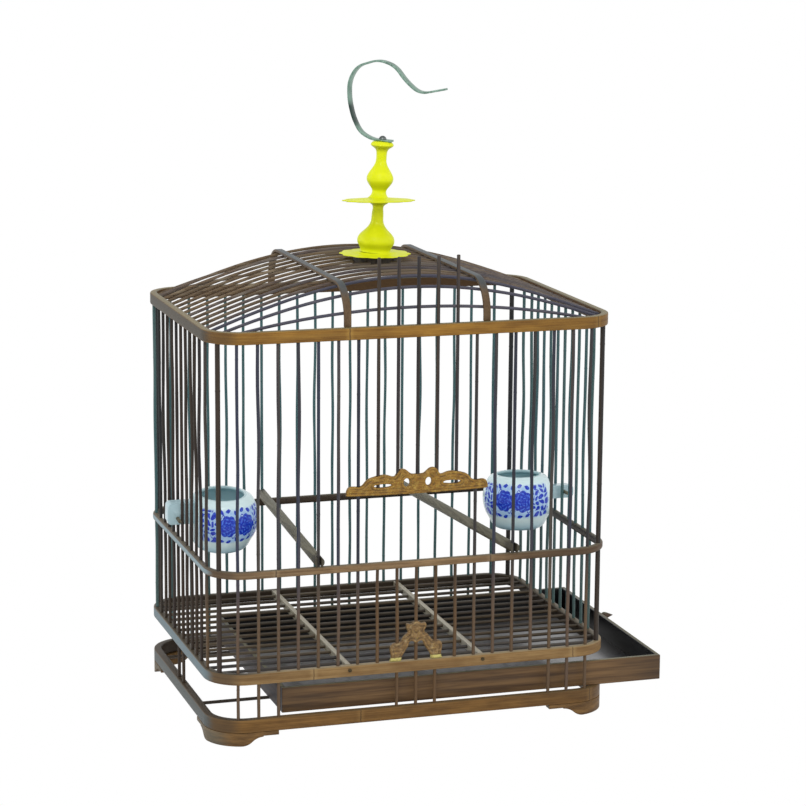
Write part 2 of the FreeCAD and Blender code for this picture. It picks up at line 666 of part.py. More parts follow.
rail_shares = [(0.0, 0.77), (0.09, 0.79), (0.15, 0.93), (0.21, 1.0), (0.27, 0.93), (0.32, 0.72),
               (0.42, 0.78), (0.53, 0.79), (0.64, 0.72), (0.72, 0.61), (0.78, 0.42), (0.88, 0.39),
               (0.97, 0.36), (1.0, 0.20), (1.0, 0.02)]
rail_hole_shares = [((0.155, 0.44), (0.045, 0.17)), ((0.49, 0.36), (0.13, 0.07))]
rail_bow_share = 0.03
rail_reach = value(f"{bar_pitch} * {guide_step} + size.door_end_length")


def rail_point(out, up, side=1):
    return Vector(side * out * rail_reach, 0, up * size.door_rail_height)


def oval(centre, half_width, half_height):
    across = centre + Vector(half_width, 0, 0)
    upwards = centre + Vector(0, 0, half_height)
    longer, shorter = (upwards, across) if half_height > half_width else (across, upwards)
    return Part.Face(Part.Wire(Part.Ellipse(longer, shorter, centre).toShape()))


def rail_solid():
    right = [rail_point(out, up) for out, up in rail_shares]
    left = [rail_point(out, up, -1) for out, up in reversed(rail_shares[1:])]
    crest = smooth_edge(left + right)
    bow = Part.Arc(right[-1], rail_point(0, -rail_bow_share), left[0]).toShape()
    rail = Part.Face(Part.Wire([crest, bow])).extrude(Vector(0, size.door_rail_thickness, 0))
    for side in (-1, 1):
        for centre, reach in rail_hole_shares:
            hole = oval(rail_point(*centre, side), rail_point(*reach).x, rail_point(*reach).z)
            rail = rail.cut(hole.extrude(Vector(0, size.door_rail_thickness, 0)))
    return rail


rail = feature("rail_blank", rail_solid())
rail_y = -value(bar_y) - size.door_rail_thickness / 2
rail.Placement = Placement(Vector(0, rail_y, size.door_level), Rotation())
rail_drills = []
for step in (-guide_step, guide_step):
    x, y = front_place(step)
    rail_drills.append(upright(f"guide_drill_{step + guide_step}", x, y,
                               "size.door_level - size.overrun", "size.door_level + size.door_rail_height",
                               "size.bar_radius + size.door_clearance"))
for step in range(-door_step, door_step + 1):
    x, y = front_place(step)
    rail_drills.append(upright(f"door_seat_{step + door_step}", x, y,
                               "size.door_level + size.door_bar_cover", "size.door_bar_top",
                               "size.bar_radius + size.fit"))
node(cut("rail_drilled", rail, group("rail_drill_set", rail_drills)), "door_rail")

# Tray

wall = "size.tray_wall_thickness"
tray_y = f"({half_depth} - size.tray_side_room)"
tray_inner_y = f"({tray_y} - {wall})"
tray_inner_left = f"({tray_left} + {wall})"
tray_inner_right = f"({tray_right} - {wall})"
tray_boards = {
    "tray_front": ((tray_left, f"-{tray_y}", tray_base), (tray_right, f"-{tray_inner_y}", tray_top)),
    "tray_back": ((tray_left, tray_inner_y, tray_base), (tray_right, tray_y, tray_top)),
    "tray_left": ((tray_left, f"-{tray_inner_y}", tray_base), (tray_inner_left, tray_inner_y, tray_top)),
    "tray_right": ((tray_inner_right, f"-{tray_inner_y}", tray_base), (tray_right, tray_inner_y, tray_top)),
    "tray_bottom": ((tray_inner_left, f"-{tray_inner_y}", tray_base),
                    (tray_inner_right, tray_inner_y, f"{tray_base} + size.tray_bottom_thickness")),
}
for label, (low, high) in tray_boards.items():
    node(board(f"{label}_board", low, high), label)

tray_knob_shares = [(0.55, 0.0), (0.6, 0.12), (1.0, 0.34), (0.8, 0.6), (0.35, 0.85), (0.12, 1.0)]
knob_points = [Vector(out * size.tray_knob_radius, 0, up * size.tray_knob_length)
               for out, up in tray_knob_shares]
knob_edges = [
    smooth_edge(knob_points),
    Part.LineSegment(knob_points[-1], Vector(0, 0, knob_points[-1].z)).toShape(),
    Part.LineSegment(Vector(0, 0, knob_points[-1].z), Vector()).toShape(),
    Part.LineSegment(Vector(), knob_points[0]).toShape(),
]
knob = feature("knob_turning", Part.Face(Part.Wire(knob_edges)).revolve(Vector(), Vector(0, 0, 1), 360))
knob_centre = Vector(value(tray_right), size.tray_knob_place, value(tray_top) - size.tray_knob_drop)
knob.Placement = Placement(knob_centre, Rotation(Vector(0, 1, 0), 90))
node(knob, "tray_knob")

# Finial and roof boss, on one leaning axis

boss_z = size.boss_top_level
lean = Rotation(Vector(0, 1, 0), size.finial_lean)


def on_finial(shape, height):
    """Sets a shape that stands on Z on the finial's axis, height above the boss."""
    above = Placement(Vector(0, 0, height), Rotation())
    shape.Placement = Placement(Vector(0, 0, boss_z), lean).multiply(above)
    return shape


bore = size.finial_rod_radius + size.fit
lower_shares = [(0.82, 0.0), (0.84, 0.07), (0.98, 0.17), (0.97, 0.27), (0.62, 0.42), (0.34, 0.58),
                (0.31, 0.75), (0.33, 0.9), (0.55, 0.97), (0.56, 1.0)]
upper_shares = [(0.80, 0.0), (0.58, 0.06), (0.53, 0.12), (0.77, 0.22), (1.0, 0.33), (0.73, 0.49),
                (0.42, 0.63), (0.39, 0.75), (0.52, 0.87), (0.84, 0.93), (0.66, 1.0)]
plate_level = 0
lower_level = plate_level + size.plate_thickness
disc_level = lower_level + size.lower_turning_height
upper_level = disc_level + size.disc_thickness
hook_level = upper_level + size.upper_turning_height + size.hook_clearance
rivet_level = hook_level + size.hook_thickness + size.hook_clearance
boss_bottom = -size.boss_height
nut_level = boss_bottom - size.washer_thickness - size.nut_height
lobes = 12

boss = on_finial(Part.makeCylinder(boss_radius, size.boss_height), boss_bottom)
bore_cut = on_finial(Part.makeCylinder(bore, size.boss_height + 2 * size.overrun), boss_bottom - size.overrun)
seats = []
for y, shoulder_z in roof_places:
    if abs(y) < boss_radius:
        points, radii = roof_rod_route(y, shoulder_z)
        seat = bent_rod(points, radii, size.roof_rod_radius + size.fit)
        seats.append(stand_in_plane(seat, y))
core = Part.makeCylinder(boss_gap_radius - size.fit, 2 * size.boss_height,
                         Vector(0, 0, boss_z - 2 * size.boss_height))
middle = len(seats) // 2
seats[middle] = seats[middle].cut(core)
node(feature("boss_bored", boss.cut([bore_cut] + seats)), "roof_boss")

finial_shapes = {
    "finial_plate": (lobed_disc(size.plate_radius, size.lobe_depth, lobes, size.plate_thickness, bore),
                     plate_level),
    "finial_lower": (turned(lower_shares, size.lower_turning_radius, size.lower_turning_height, bore),
                     lower_level),
    "finial_disc": (lobed_disc(size.disc_radius, size.lobe_depth, lobes, size.disc_thickness, bore),
                    disc_level),
    "finial_upper": (turned(upper_shares, size.upper_turning_radius, size.upper_turning_height, bore),
                     upper_level),
    "finial_washer": (Part.makeCylinder(size.washer_radius, size.washer_thickness).cut(
        Part.makeCylinder(bore, size.washer_thickness)), boss_bottom - size.washer_thickness),
}
for label, (shape, height) in finial_shapes.items():
    node(feature(f"{label}_piece", on_finial(shape, height)), label)

nut_sides = 6
nut_step = 2 * math.pi / nut_sides
nut_corner = size.nut_width / 2 / math.cos(nut_step / 2)
nut_corners = [Vector(nut_corner * math.cos(nut_step * side), nut_corner * math.sin(nut_step * side), 0)
               for side in range(nut_sides + 1)]
nut = Part.Face(Part.makePolygon(nut_corners)).extrude(Vector(0, 0, size.nut_height))
nut = nut.cut(Part.makeCylinder(bore, size.nut_height))
node(feature("nut", on_finial(nut, nut_level)), "finial_nut")

rod_low = nut_level - size.overrun
shank_length = rivet_level - rod_low
dome_radius = (size.rivet_head_radius ** 2 + size.rivet_head_height ** 2) / (2 * size.rivet_head_height)
dome_centre = shank_length + size.rivet_head_height - dome_radius
dome_angle = math.asin(size.rivet_head_radius / dome_radius) / 2
rod_corners = [Vector(0, 0, shank_length + size.rivet_head_height), Vector(),
               Vector(size.finial_rod_radius, 0, 0), Vector(size.finial_rod_radius, 0, shank_length),
               Vector(size.rivet_head_radius, 0, shank_length)]
dome_middle = Vector(dome_radius * math.sin(dome_angle), 0, dome_centre + dome_radius * math.cos(dome_angle))
dome = Part.Arc(rod_corners[-1], dome_middle, rod_corners[0]).toShape()
rod_edges = [Part.LineSegment(start, end).toShape() for start, end in zip(rod_corners, rod_corners[1:])]
rod_turning = Part.Face(Part.Wire(rod_edges + [dome])).revolve(Vector(), Vector(0, 0, 1), 360)
node(feature("finial_rod_piece", on_finial(rod_turning, rod_low)), "finial_rod")

# Hook: its route in an upright plane, (along, up) from the rivet, as shares of its reach and height

hook_shares = [(-0.35, 0.095), (-0.466, 0.285), (-0.532, 0.52), (-0.53, 0.76), (-0.40, 0.95),
               (-0.06, 1.04), (0.20, 0.97), (0.38, 0.77), (0.60, 0.62), (1.0, 0.69)]
bend_share = 0.45
seat_tilt = size.finial_lean * math.cos(math.radians(size.hook_angle))
seat_half = size.hook_seat_length / 2
seat_drop = seat_half * math.tan(math.radians(seat_tilt))
hook_points = [Vector(seat_half, -seat_drop, 0), Vector(-seat_half, seat_drop, 0)]
hook_points += [Vector(along * size.hook_reach, up * size.hook_height, 0) for along, up in hook_shares]


def easy_radii(points):
    """An arc for each inner point that leaves room for the arcs beside it."""
    radii = []
    for before, point, after in zip(points, points[1:], points[2:]):
        half_turn = (point - before).getAngle(after - point) / 2
        run = min((point - before).Length, (after - point).Length)
        radii.append(bend_share * run / math.tan(half_turn))
    return radii


hook_strip = bent_strip(hook_points, easy_radii(hook_points), size.hook_thickness, size.hook_width)
hook_centre = on_finial(Part.Vertex(0, 0, 0), hook_level + size.hook_thickness / 2).Point
to_upright = Rotation(Vector(1, 0, 0), 90)
hook_turn = Rotation(Vector(0, 0, 1), size.hook_angle)
hook_strip.Placement = Placement(hook_centre, hook_turn.multiply(to_upright))
hook_bore = on_finial(Part.makeCylinder(size.finial_rod_radius + size.hook_bore_clearance,
                                        size.hook_thickness + 2 * size.overrun), hook_level - size.overrun)
node(feature("hook_strip", hook_strip.cut(hook_bore)), "hook")

# Perches: a stick whose slotted ends straddle a front and a back bar

front_perch_step = 5
back_perch_step = 4


def perch_solid(side):
    front = Vector(*(value(place) for place in front_place(side * front_perch_step)), 0)
    back = Vector(*(value(place) for place in back_place(side * back_perch_step)), 0)
    along = (back - front).normalize()
    beyond = size.bar_radius + size.perch_end_length
    level = Vector(0, 0, value(mid_ring_top) + size.perch_gap + size.perch_radius)
    length = (back - front).Length + 2 * beyond
    stick = Part.makeCylinder(size.perch_radius, length, front - along * beyond + level, along)
    slot_width = 2 * (size.bar_radius + size.perch_slot_clearance)
    slot_height = 2 * size.perch_radius + 2 * size.overrun
    for end, outward in ((front, -along), (back, along)):
        slot = Part.makeBox(beyond + size.overrun, slot_width, slot_height,
                            Vector(0, -slot_width / 2, -slot_height / 2))
        rounding = Part.makeCylinder(slot_width / 2, slot_height, Vector(0, 0, -slot_height / 2))
        tool = slot.fuse(rounding)
        turn = math.degrees(math.atan2(outward.y, outward.x))
        tool.Placement = Placement(end + level, Rotation(Vector(0, 0, 1), turn))
        stick = stick.cut(tool)
    return stick


node(feature("perch_left_stick", perch_solid(-1)), "perch_left")
node(feature("perch_right_stick", perch_solid(1)), "perch_right")

# Cups: a thrown bowl flattened towards the wall, with a lug that passes between two bars

cup_shares = [(0.60, 0.0), (0.70, 0.04), (0.81, 0.167), (0.907, 0.281), (0.966, 0.395), (1.0, 0.555),
              (0.96, 0.737), (0.90, 0.852), (0.80, 0.955), (0.70, 0.99), (0.66, 1.0)]


def cup_turning(points):
    """A solid turned from the axis out to a curve through points."""
    bottom = Vector(0, 0, points[0].z)
    top = Vector(0, 0, points[-1].z)
    edges = [
        Part.LineSegment(bottom, points[0]).toShape(),
        smooth_edge(points),
        Part.LineSegment(points[-1], top).toShape(),
        Part.LineSegment(top, bottom).toShape(),
    ]
    return Part.Face(Part.Wire(edges)).revolve(Vector(), Vector(0, 0, 1), 360)


def behind_flat(flat):
    return Part.makeBox(size.cup_radius, 2 * size.cup_radius, 2 * size.cup_height,
                        Vector(flat, -size.cup_radius, -size.cup_height / 2))


def cup_hollow(outer):
    """The room inside, one wall away from the outer curve."""
    floor_z = outer[1].z + size.cup_wall
    points = [Vector(outer[1].x / 2, 0, floor_z),
              Vector(outer[1].x - size.cup_wall, 0, floor_z + size.cup_wall / 2)]
    for before, point, after in list(zip(outer, outer[1:], outer[2:]))[1:-1]:
        along = (after - before).normalize()
        points.append(point + Vector(-along.z, 0, along.x) * size.cup_wall)
    mouth = outer[-1].x - size.cup_rim_thickness
    points += [Vector(mouth, 0, outer[-1].z - size.cup_wall), Vector(mouth, 0, outer[-1].z + size.overrun)]
    return cup_turning(points)


def cup_solid(cup_place, lug_extra):
    """The cup's wall side faces +X; its origin is the middle of its base."""
    outer = [Vector(out * size.cup_radius, 0, up * size.cup_height) for out, up in cup_shares]
    hollow = cup_hollow(outer).cut(behind_flat(size.cup_flat - size.cup_wall))
    body = cup_turning(outer).cut(behind_flat(size.cup_flat)).cut(hollow)
    lug_start = size.cup_flat - size.cup_wall / 2
    lug_end = value(half_width) + size.lug_reach - cup_place
    lug_bottom = size.lug_level - size.cup_level
    tall = size.lug_height + lug_extra
    lug = Part.makeBox(lug_end - lug_start, size.lug_width, tall,
                       Vector(lug_start, -size.lug_width / 2, lug_bottom))
    outer_edges = [edge for edge in lug.Edges
                   if edge.BoundBox.XMin > lug_end - size.fit and edge.BoundBox.YLength > size.fit]
    lug = lug.makeFillet(size.lug_rounding, outer_edges)
    return body.fuse(lug).removeSplitter()


peg_x = value(f"{bar_x} + size.bar_radius + size.peg_gap + size.peg_radius")
cups = [("left", -1, size.cup_left_inset, size.cup_left_tilt, size.cup_left_lug_extra),
        ("right", 1, size.cup_right_inset, size.cup_right_tilt, 0)]
for name, side, inset, tilt, lug_extra in cups:
    cup_place = value(half_width) - inset
    peg_out = peg_x - cup_place
    peg_z = size.lug_level - size.cup_level + size.lug_height / 2
    hole_start = Vector(peg_out, -size.lug_width / 2 - size.overrun, peg_z)
    hole = Part.makeCylinder(size.peg_radius + size.peg_clearance, size.lug_width + 2 * size.overrun,
                             hole_start, Vector(0, 1, 0))
    peg = Part.makeCylinder(size.peg_radius, size.peg_length,
                            Vector(peg_out, -size.peg_length / 2, peg_z), Vector(0, 1, 0))
    cup = cup_solid(cup_place, lug_extra).cut(hole)
    turn = Rotation(Vector(0, 0, 1), 180 if side < 0 else 0)
    lean_over = Placement(Vector(), Rotation(Vector(1, 0, 0), tilt), Vector(0, 0, peg_z))
    stand = Placement(Vector(side * cup_place, 0, size.cup_level), Rotation())
    place = stand.multiply(lean_over).multiply(Placement(Vector(), turn))
    cup_piece = feature(f"cup_{name}_piece", cup)
    cup_piece.Placement = place
    node(cup_piece, f"cup_{name}")
    peg_piece = feature(f"cup_peg_{name}_piece", peg)
    peg_piece.Placement = place
    node(peg_piece, f"cup_peg_{name}")

doc.recompute()

faults = []
for item in doc.Objects:
    if "Invalid" in item.State or "Error" in item.State:
        faults.append(f"{item.Name}: {item.State}")
for piece in nodes:
    if piece.Shape.isNull() or not piece.Shape.isValid() or not piece.Shape.Solids:
        faults.append(f"{piece.Label}: shape is not a valid solid")
if faults:
    raise RuntimeError("; ".join(faults))

os.makedirs("parts", exist_ok=True)
for piece in nodes:
    piece.Shape.exportStep(os.path.join("parts", f"{piece.Label}.step"))
print(f"{len(nodes)} sub-parts, {sum(len(piece.Shape.Solids) for piece in nodes)} solids")
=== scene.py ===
import json
import math
import bmesh
import bpy
from mathutils import Matrix, Vector, kdtree, noise


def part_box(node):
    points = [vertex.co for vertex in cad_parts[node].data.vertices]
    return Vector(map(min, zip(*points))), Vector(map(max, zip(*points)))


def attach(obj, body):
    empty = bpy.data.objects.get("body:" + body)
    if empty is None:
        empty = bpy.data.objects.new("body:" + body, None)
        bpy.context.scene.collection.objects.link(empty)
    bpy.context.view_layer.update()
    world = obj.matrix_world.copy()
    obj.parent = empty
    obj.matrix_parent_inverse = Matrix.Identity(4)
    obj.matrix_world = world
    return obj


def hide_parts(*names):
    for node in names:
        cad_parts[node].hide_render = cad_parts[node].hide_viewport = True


# Bird cage: its looks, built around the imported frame. Metres, Z up, the door at the front (-Y).

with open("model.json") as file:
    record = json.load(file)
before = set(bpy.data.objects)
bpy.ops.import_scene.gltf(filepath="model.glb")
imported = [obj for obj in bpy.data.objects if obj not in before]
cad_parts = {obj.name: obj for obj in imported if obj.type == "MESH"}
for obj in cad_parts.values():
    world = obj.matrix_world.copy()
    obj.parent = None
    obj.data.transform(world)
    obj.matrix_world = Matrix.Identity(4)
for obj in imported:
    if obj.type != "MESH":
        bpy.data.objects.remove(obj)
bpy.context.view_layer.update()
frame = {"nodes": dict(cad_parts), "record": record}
nodes = frame["nodes"]
bodyOf = {node: body for body, members in frame["record"]["behaviour"]["bodies"].items() for node in members}
mm = 0.001

# noise_vector draws its offsets from this seed, so the bars' bends are the same in each run
noise.seed_set(7)


def shade(red, green, blue):
    # a colour as the eye reads it, 0 to 255, made linear
    parts = [part / 255 for part in (red, green, blue)]
    return tuple(part / 12.92 if part < 0.04 else ((part + 0.055) / 1.055) ** 2.4 for part in parts) + (1.0,)


# Shader maths: a wire is a socket that adds Math nodes when it is used in an expression

class Wire:
    def __init__(self, finish, socket):
        self.finish = finish
        self.socket = socket

    def maths(self, operation, *terms):
        return self.finish.node("Math", {"operation": operation}, dict(enumerate(terms)))

    def __add__(self, other):
        return self.maths("ADD", self, other)

    def __sub__(self, other):
        return self.maths("SUBTRACT", self, other)

    def __rsub__(self, other):
        return self.maths("SUBTRACT", other, self)

    def __mul__(self, other):
        return self.maths("MULTIPLY", self, other)

    def __truediv__(self, other):
        return self.maths("DIVIDE", self, other)

    def __pow__(self, other):
        return self.maths("POWER", self, other)

    def __abs__(self):
        return self.maths("ABSOLUTE", self)

    __radd__ = __add__
    __rmul__ = __mul__

    def wave(self):
        return self.maths("SINE", self)

    def above(self, other):
        return self.maths("MAXIMUM", self, other)

    def wrapped(self, span):
        # the same value again every span, with 0 in the middle
        return self.maths("WRAP", self, span / 2, -span / 2)

    def rest(self, step):
        # distance from the nearest multiple of step
        return self.maths("PINGPONG", self, step / 2)

    def fade(self, start, end):
        # 0 at start, 1 at end, smooth between them
        ends = {"Value": self, "From Min": min(start, end), "From Max": max(start, end)}
        if start > end:
            ends.update({"To Min": 1.0, "To Max": 0.0})
        return self.finish.node("MapRange", {"interpolation_type": "SMOOTHSTEP"}, ends)


def highest(wires):
    top, *others = wires
    for other in others:
        top = top.above(other)
    return top


class Finish:
    # the nodes of a new material, or of the world or material that is given
    def __init__(self, owner):
        self.owner = bpy.data.materials.new(owner) if isinstance(owner, str) else owner
        self.owner.use_nodes = True
        self.tree = self.owner.node_tree

    def node(self, kind, settings=None, inputs=None, output=0):
        made = self.tree.nodes.new("ShaderNode" + kind)
        for key, setting in (settings or {}).items():
            setattr(made, key, setting)
        for key, source in (inputs or {}).items():
            self.join(source, made.inputs[key])
        return Wire(self, made.outputs[output])

    def join(self, source, socket):
        if isinstance(source, Wire):
            self.tree.links.new(source.socket, socket)
        else:
            socket.default_value = source

    def axes(self, vector):
        split = self.node("SeparateXYZ", None, {0: vector})
        return [Wire(self, output) for output in split.socket.node.outputs]

    def place(self):
        return self.axes(self.node("TexCoord", output=3))

    def sheetPlace(self):
        return self.axes(self.node("UVMap", {"uv_map": "grain"}))[:2]

    def facing(self):
        return self.axes(self.node("NewGeometry", output=1))

    def speck(self, x, y, z, detail=2.0, roughness=0.5):
        # noise from 0 to 1 at a place already scaled
        place = self.node("CombineXYZ", None, {0: x, 1: y, 2: z})
        return self.node("TexNoise", None, {"Vector": place, "Scale": 1.0, "Detail": detail,
                                            "Roughness": roughness})

    def lay(self, tone, *coats, start="dark"):
        # coats over the starting tone, each by its mask: a tone's fourth number is its strength,
        # and a coat whose tone isn't in the table isn't laid
        color = shade(*tone[start])
        for mask, key in coats:
            if key in tone:
                red, green, blue, *strength = tone[key]
                share = mask * strength[0] if strength else mask
                color = self.node("Mix", {"data_type": "RGBA"},
                                  {0: share, 6: color, 7: shade(red, green, blue)}, 2)
        return color

    def set(self, color, roughness, relief, coat=0.05, coatRoughness=0.2, specular=0.25, metallic=0.0):
        # relief is the bump's height, distance and strength
        bump = self.node("Bump", None, dict(zip(("Height", "Distance", "Strength"), relief)))
        looks = {"Base Color": color, "Roughness": roughness, "Metallic": metallic, "Coat Weight": coat,
                 "Coat Roughness": coatRoughness, "Specular IOR Level": specular, "Normal": bump}
        for key, source in looks.items():
            self.join(source, self.tree.nodes["Principled BSDF"].inputs[key])
        return self.owner


# Finishes: the tones are (red, green, blue) as the eye reads them, some with a strength

hoopTones = {
    "top_hoop_bamboo": {
        "dark": (116, 78, 26), "light": (162, 119, 48), "pale": (182, 144, 72), "deep": (72, 50, 26),
        "top": (122, 122, 96), "cool": (52, 52, 45, 0.85), "corner": (82, 62, 40), "inner": (74, 54, 34),
        "topDark": 0.1, "rightDark": 0.34, "knotStep": 0.231, "knotShift": 0.062},
    "mid_hoop_bamboo": {
        "dark": (100, 76, 50), "light": (150, 122, 88), "pale": (166, 144, 112), "deep": (56, 42, 32),
        "top": (112, 108, 92), "cool": (140, 164, 172, 0.9), "corner": (66, 52, 40), "inner": (46, 40, 35),
        "topDark": 0.3, "rightDark": 0.75, "knotStep": 0.197, "knotShift": 0.128},
    "floor_hoop_bamboo": {
        "dark": (110, 80, 44), "light": (152, 122, 78), "pale": (172, 148, 104), "deep": (86, 62, 36),
        "top": (150, 138, 110), "cool": (104, 128, 138, 0.85), "corner": (62, 52, 44), "inner": (36, 33, 31),
        "topDark": 0.8, "rightDark": 0.05, "knotStep": 0.243, "knotShift": 0.094},
    "base_hoop_bamboo": {
        "dark": (88, 60, 26), "light": (132, 96, 48), "pale": (150, 116, 66), "deep": (60, 44, 28),
        "top": (104, 88, 62), "cool": (70, 84, 86, 0.8), "corner": (70, 58, 44), "inner": (38, 34, 30),
        "topDark": 0.75, "rightDark": 0.15, "knotStep": 0.219, "knotShift": 0.051},
}


def hoopFinish(name, tone):
    # split bamboo on edge: grain runs round the hoop on its own map, metres along and across
    finish = Finish(name)
    along, across = finish.sheetPlace()
    x, y, z = finish.place()
    nx, ny, nz = finish.facing()
    fibre = finish.speck(along * 14, across * 1500, 0.0, 3.0, 0.6)
    streak = finish.speck(along * 5, across * 420, 3.0)
    patch = finish.speck(along * 9, across * 60, 7.0)
    mottle = finish.speck(along * 45, across * 150, 5.0, 3.0, 0.6)
    knot = (along + tone["knotShift"] + streak * 0.0015).rest(tone["knotStep"])
    knotLine = knot.fade(0.0009, 0.0002)
    side = nx + fibre * 0.1
    # painted shade on faces that look towards the cage's middle
    inwardShade = (x * nx + y * ny).fade(0.0, -0.04)
    left = x.fade(-0.12, -0.165)
    right = x.fade(0.15, 0.175) * y.fade(-0.12, -0.09) * 0.8
    # upper faces: a painted highlight, and painted shade towards the back, the left and the right
    upper = nz.fade(0.5, 0.9)
    darker = left.above(y.fade(0.06, 0.12)).above(right) * tone["topDark"]
    color = finish.lay(tone, ((fibre * 0.6 + mottle * 0.4).fade(0.32, 0.68), "light"),
                       (streak.fade(0.45, 0.75) * 0.3, "pale"), (patch.fade(0.4, 0.75) * 0.4, "deep"),
                       (knot.fade(0.005, 0.001) * 0.3, "pale"), (knotLine * 0.7, "deep"),
                       (x.fade(0.02, 0.14) * tone["rightDark"], "deep"),
                       # painted shade where the left corner turns; on the left faces a painted reflection,
                       # painted shade on the top hoop
                       (side.fade(-0.1, -0.5) * left * 0.6, "corner"),
                       (side.fade(-0.78, -0.97) * left, "cool"), (inwardShade * 0.88, "inner"),
                       (upper * 0.65, "top"), (upper * darker, "inner"))
    height = fibre * 0.35 + streak * 0.3 + knot.fade(0.004, 0.0) * 0.8 - knotLine * 0.6
    return finish.set(color, 0.44 + 0.16 * fibre, (height, 0.0002, 0.6), 0.03 + 0.06 * patch, 0.25, 0.2)


barTones = {
    "bar_bamboo": {
        "dark": (46, 43, 42), "light": (80, 73, 66), "pale": (112, 104, 92), "deep": (32, 34, 40),
        "navy": (44, 52, 76, 0.8), "foot": (102, 80, 56, 0.75), "cool": (72, 112, 114, 0.85)},
    "post_bamboo": {
        "dark": (38, 32, 28), "light": (60, 49, 40), "pale": (88, 72, 56), "deep": (28, 27, 28),
        "navy": (36, 38, 48, 0.5), "foot": (72, 56, 40, 0.35), "cool": (40, 60, 62, 0.2)},
    "lower_bar_bamboo": {
        "dark": (60, 44, 30), "light": (98, 74, 50), "pale": (124, 98, 68), "deep": (40, 34, 30),
        "navy": (52, 48, 46, 0.6), "foot": (112, 84, 52, 0.5), "cool": (40, 60, 62, 0.5)},
    "door_bar_bamboo": {
        "dark": (42, 35, 32), "light": (68, 58, 49), "pale": (92, 78, 62), "deep": (32, 31, 33),
        "navy": (40, 44, 62, 0.5), "cool": (40, 60, 62, 0.3)},
}


def barFinish(name, tone):
    # thin split bamboo bars, dark with age: each one between brown and blue black, paler in places
    finish = Finish(name)
    x, y, z = finish.place()
    fibre = finish.speck(x * 1400, y * 1400, z * 16, 3.0, 0.6)
    streak = finish.speck(x * 300, y * 300, z * 5)
    bar = finish.speck(x * 83, y * 83, z * 1.1, 1.0)
    brown = finish.speck(x * 61, y * 61, z * 2.2 + 5.0, 1.0)
    # painted cool light: the back bars and the right bars turn teal
    far = y.fade(0.03, 0.13).above(x.fade(0.172, 0.181) * 0.8)
    color = finish.lay(tone, (fibre.fade(0.3, 0.7), "light"), (brown.fade(0.42, 0.62), "navy"),
                       (streak.fade(0.55, 0.8) * 0.4, "pale"), (bar.fade(0.45, 0.65) * 0.55, "deep"),
                       (z.fade(0.168, 0.10), "foot"), (far, "cool"))
    return finish.set(color, 0.44 + 0.2 * fibre, (fibre * 0.5 + streak * 0.4, 0.00015, 0.6),
                      0.03 + 0.06 * bar, 0.3)


lengthTones = {
    "roof_rod_bamboo": {
        "dark": (74, 59, 43), "light": (130, 108, 80), "pale": (156, 144, 122), "deep": (44, 40, 38),
        "cool": (60, 66, 88, 0.8), "roughness": 0.44, "coat": 0.05},
    "floor_rod_bamboo": {
        "dark": (52, 44, 34), "light": (94, 80, 60), "pale": (126, 116, 98), "deep": (38, 36, 34),
        "cool": (60, 62, 68, 0.5), "roughness": 0.38, "coat": 0.12},
    "runner_bamboo": {
        "dark": (44, 38, 34), "light": (78, 66, 52), "pale": (100, 88, 70), "deep": (36, 32, 30),
        "cool": (44, 46, 56, 0.4), "roughness": 0.44, "coat": 0.04},
}


def lengthFinish(name, tone):
    # rods that lie along the cage: grain runs along X, and the front ones are bluer
    finish = Finish(name)
    x, y, z = finish.place()
    fibre = finish.speck(x * 16, y * 1300, z * 1300, 3.0, 0.6)
    streak = finish.speck(x * 6, y * 260, z * 260)
    rod = finish.speck(x * 1.5, y * 70, 1.0, 0.0)
    blue = finish.speck(x * 3, y * 70, 9.0, 0.0).fade(0.5, 0.64) * 0.5
    color = finish.lay(tone, (fibre.fade(0.3, 0.7), "light"), (streak.fade(0.45, 0.75) * 0.55, "pale"),
                       (rod.fade(0.4, 0.7) * 0.55, "deep"), (blue.above(y.fade(-0.08, -0.095)), "cool"))
    return finish.set(color, tone["roughness"] + 0.18 * fibre,
                      (fibre * 0.5 + streak * 0.4, 0.00015, 0.6), tone["coat"])


depthTones = {
    "rib_bamboo": {"dark": (62, 46, 32), "light": (102, 82, 58), "pale": (122, 104, 80),
                   "top": (66, 76, 82, 0.85), "end": (96, 72, 44, 0.4)},
    "batten_wood": {"dark": (140, 131, 110), "light": (172, 164, 144), "pale": (190, 186, 172),
                    "top": (186, 180, 164, 0.4), "end": (150, 140, 118, 0.3)},
    "perch_wood": {"dark": (74, 71, 58), "light": (114, 109, 90), "pale": (140, 134, 114),
                   "top": (118, 116, 98, 0.3), "end": (46, 40, 32, 0.75)},
    "boss_wood": {"dark": (34, 28, 24), "light": (58, 48, 38), "pale": (72, 62, 50),
                  "top": (46, 40, 34, 0.4)},
}


def depthFinish(name, tone):
    # pieces that run across the cage: grain along Y, a painted highlight on top and another tone at the ends
    finish = Finish(name)
    x, y, z = finish.place()
    nz = finish.facing()[2]
    fibre = finish.speck(x * 1300, y * 18, z * 500, 3.0, 0.6)
    streak = finish.speck(x * 240, y * 6, z * 60)
    color = finish.lay(tone, (fibre.fade(0.3, 0.7), "light"), (streak.fade(0.45, 0.75) * 0.6, "pale"),
                       (nz.fade(0.5, 0.95), "top"), (abs(y).fade(0.117, 0.1275), "end"))
    return finish.set(color, 0.44 + 0.2 * fibre, (fibre * 0.5 + streak * 0.4, 0.00015, 0.6))


trayTone = {"dark": (72, 52, 34), "light": (120, 92, 60), "pore": (46, 34, 26), "wear": (58, 52, 46),
            "top": (118, 120, 98), "left": (38, 40, 50), "right": (50, 42, 36), "inside": (20, 20, 22),
            "middle": 0.059}


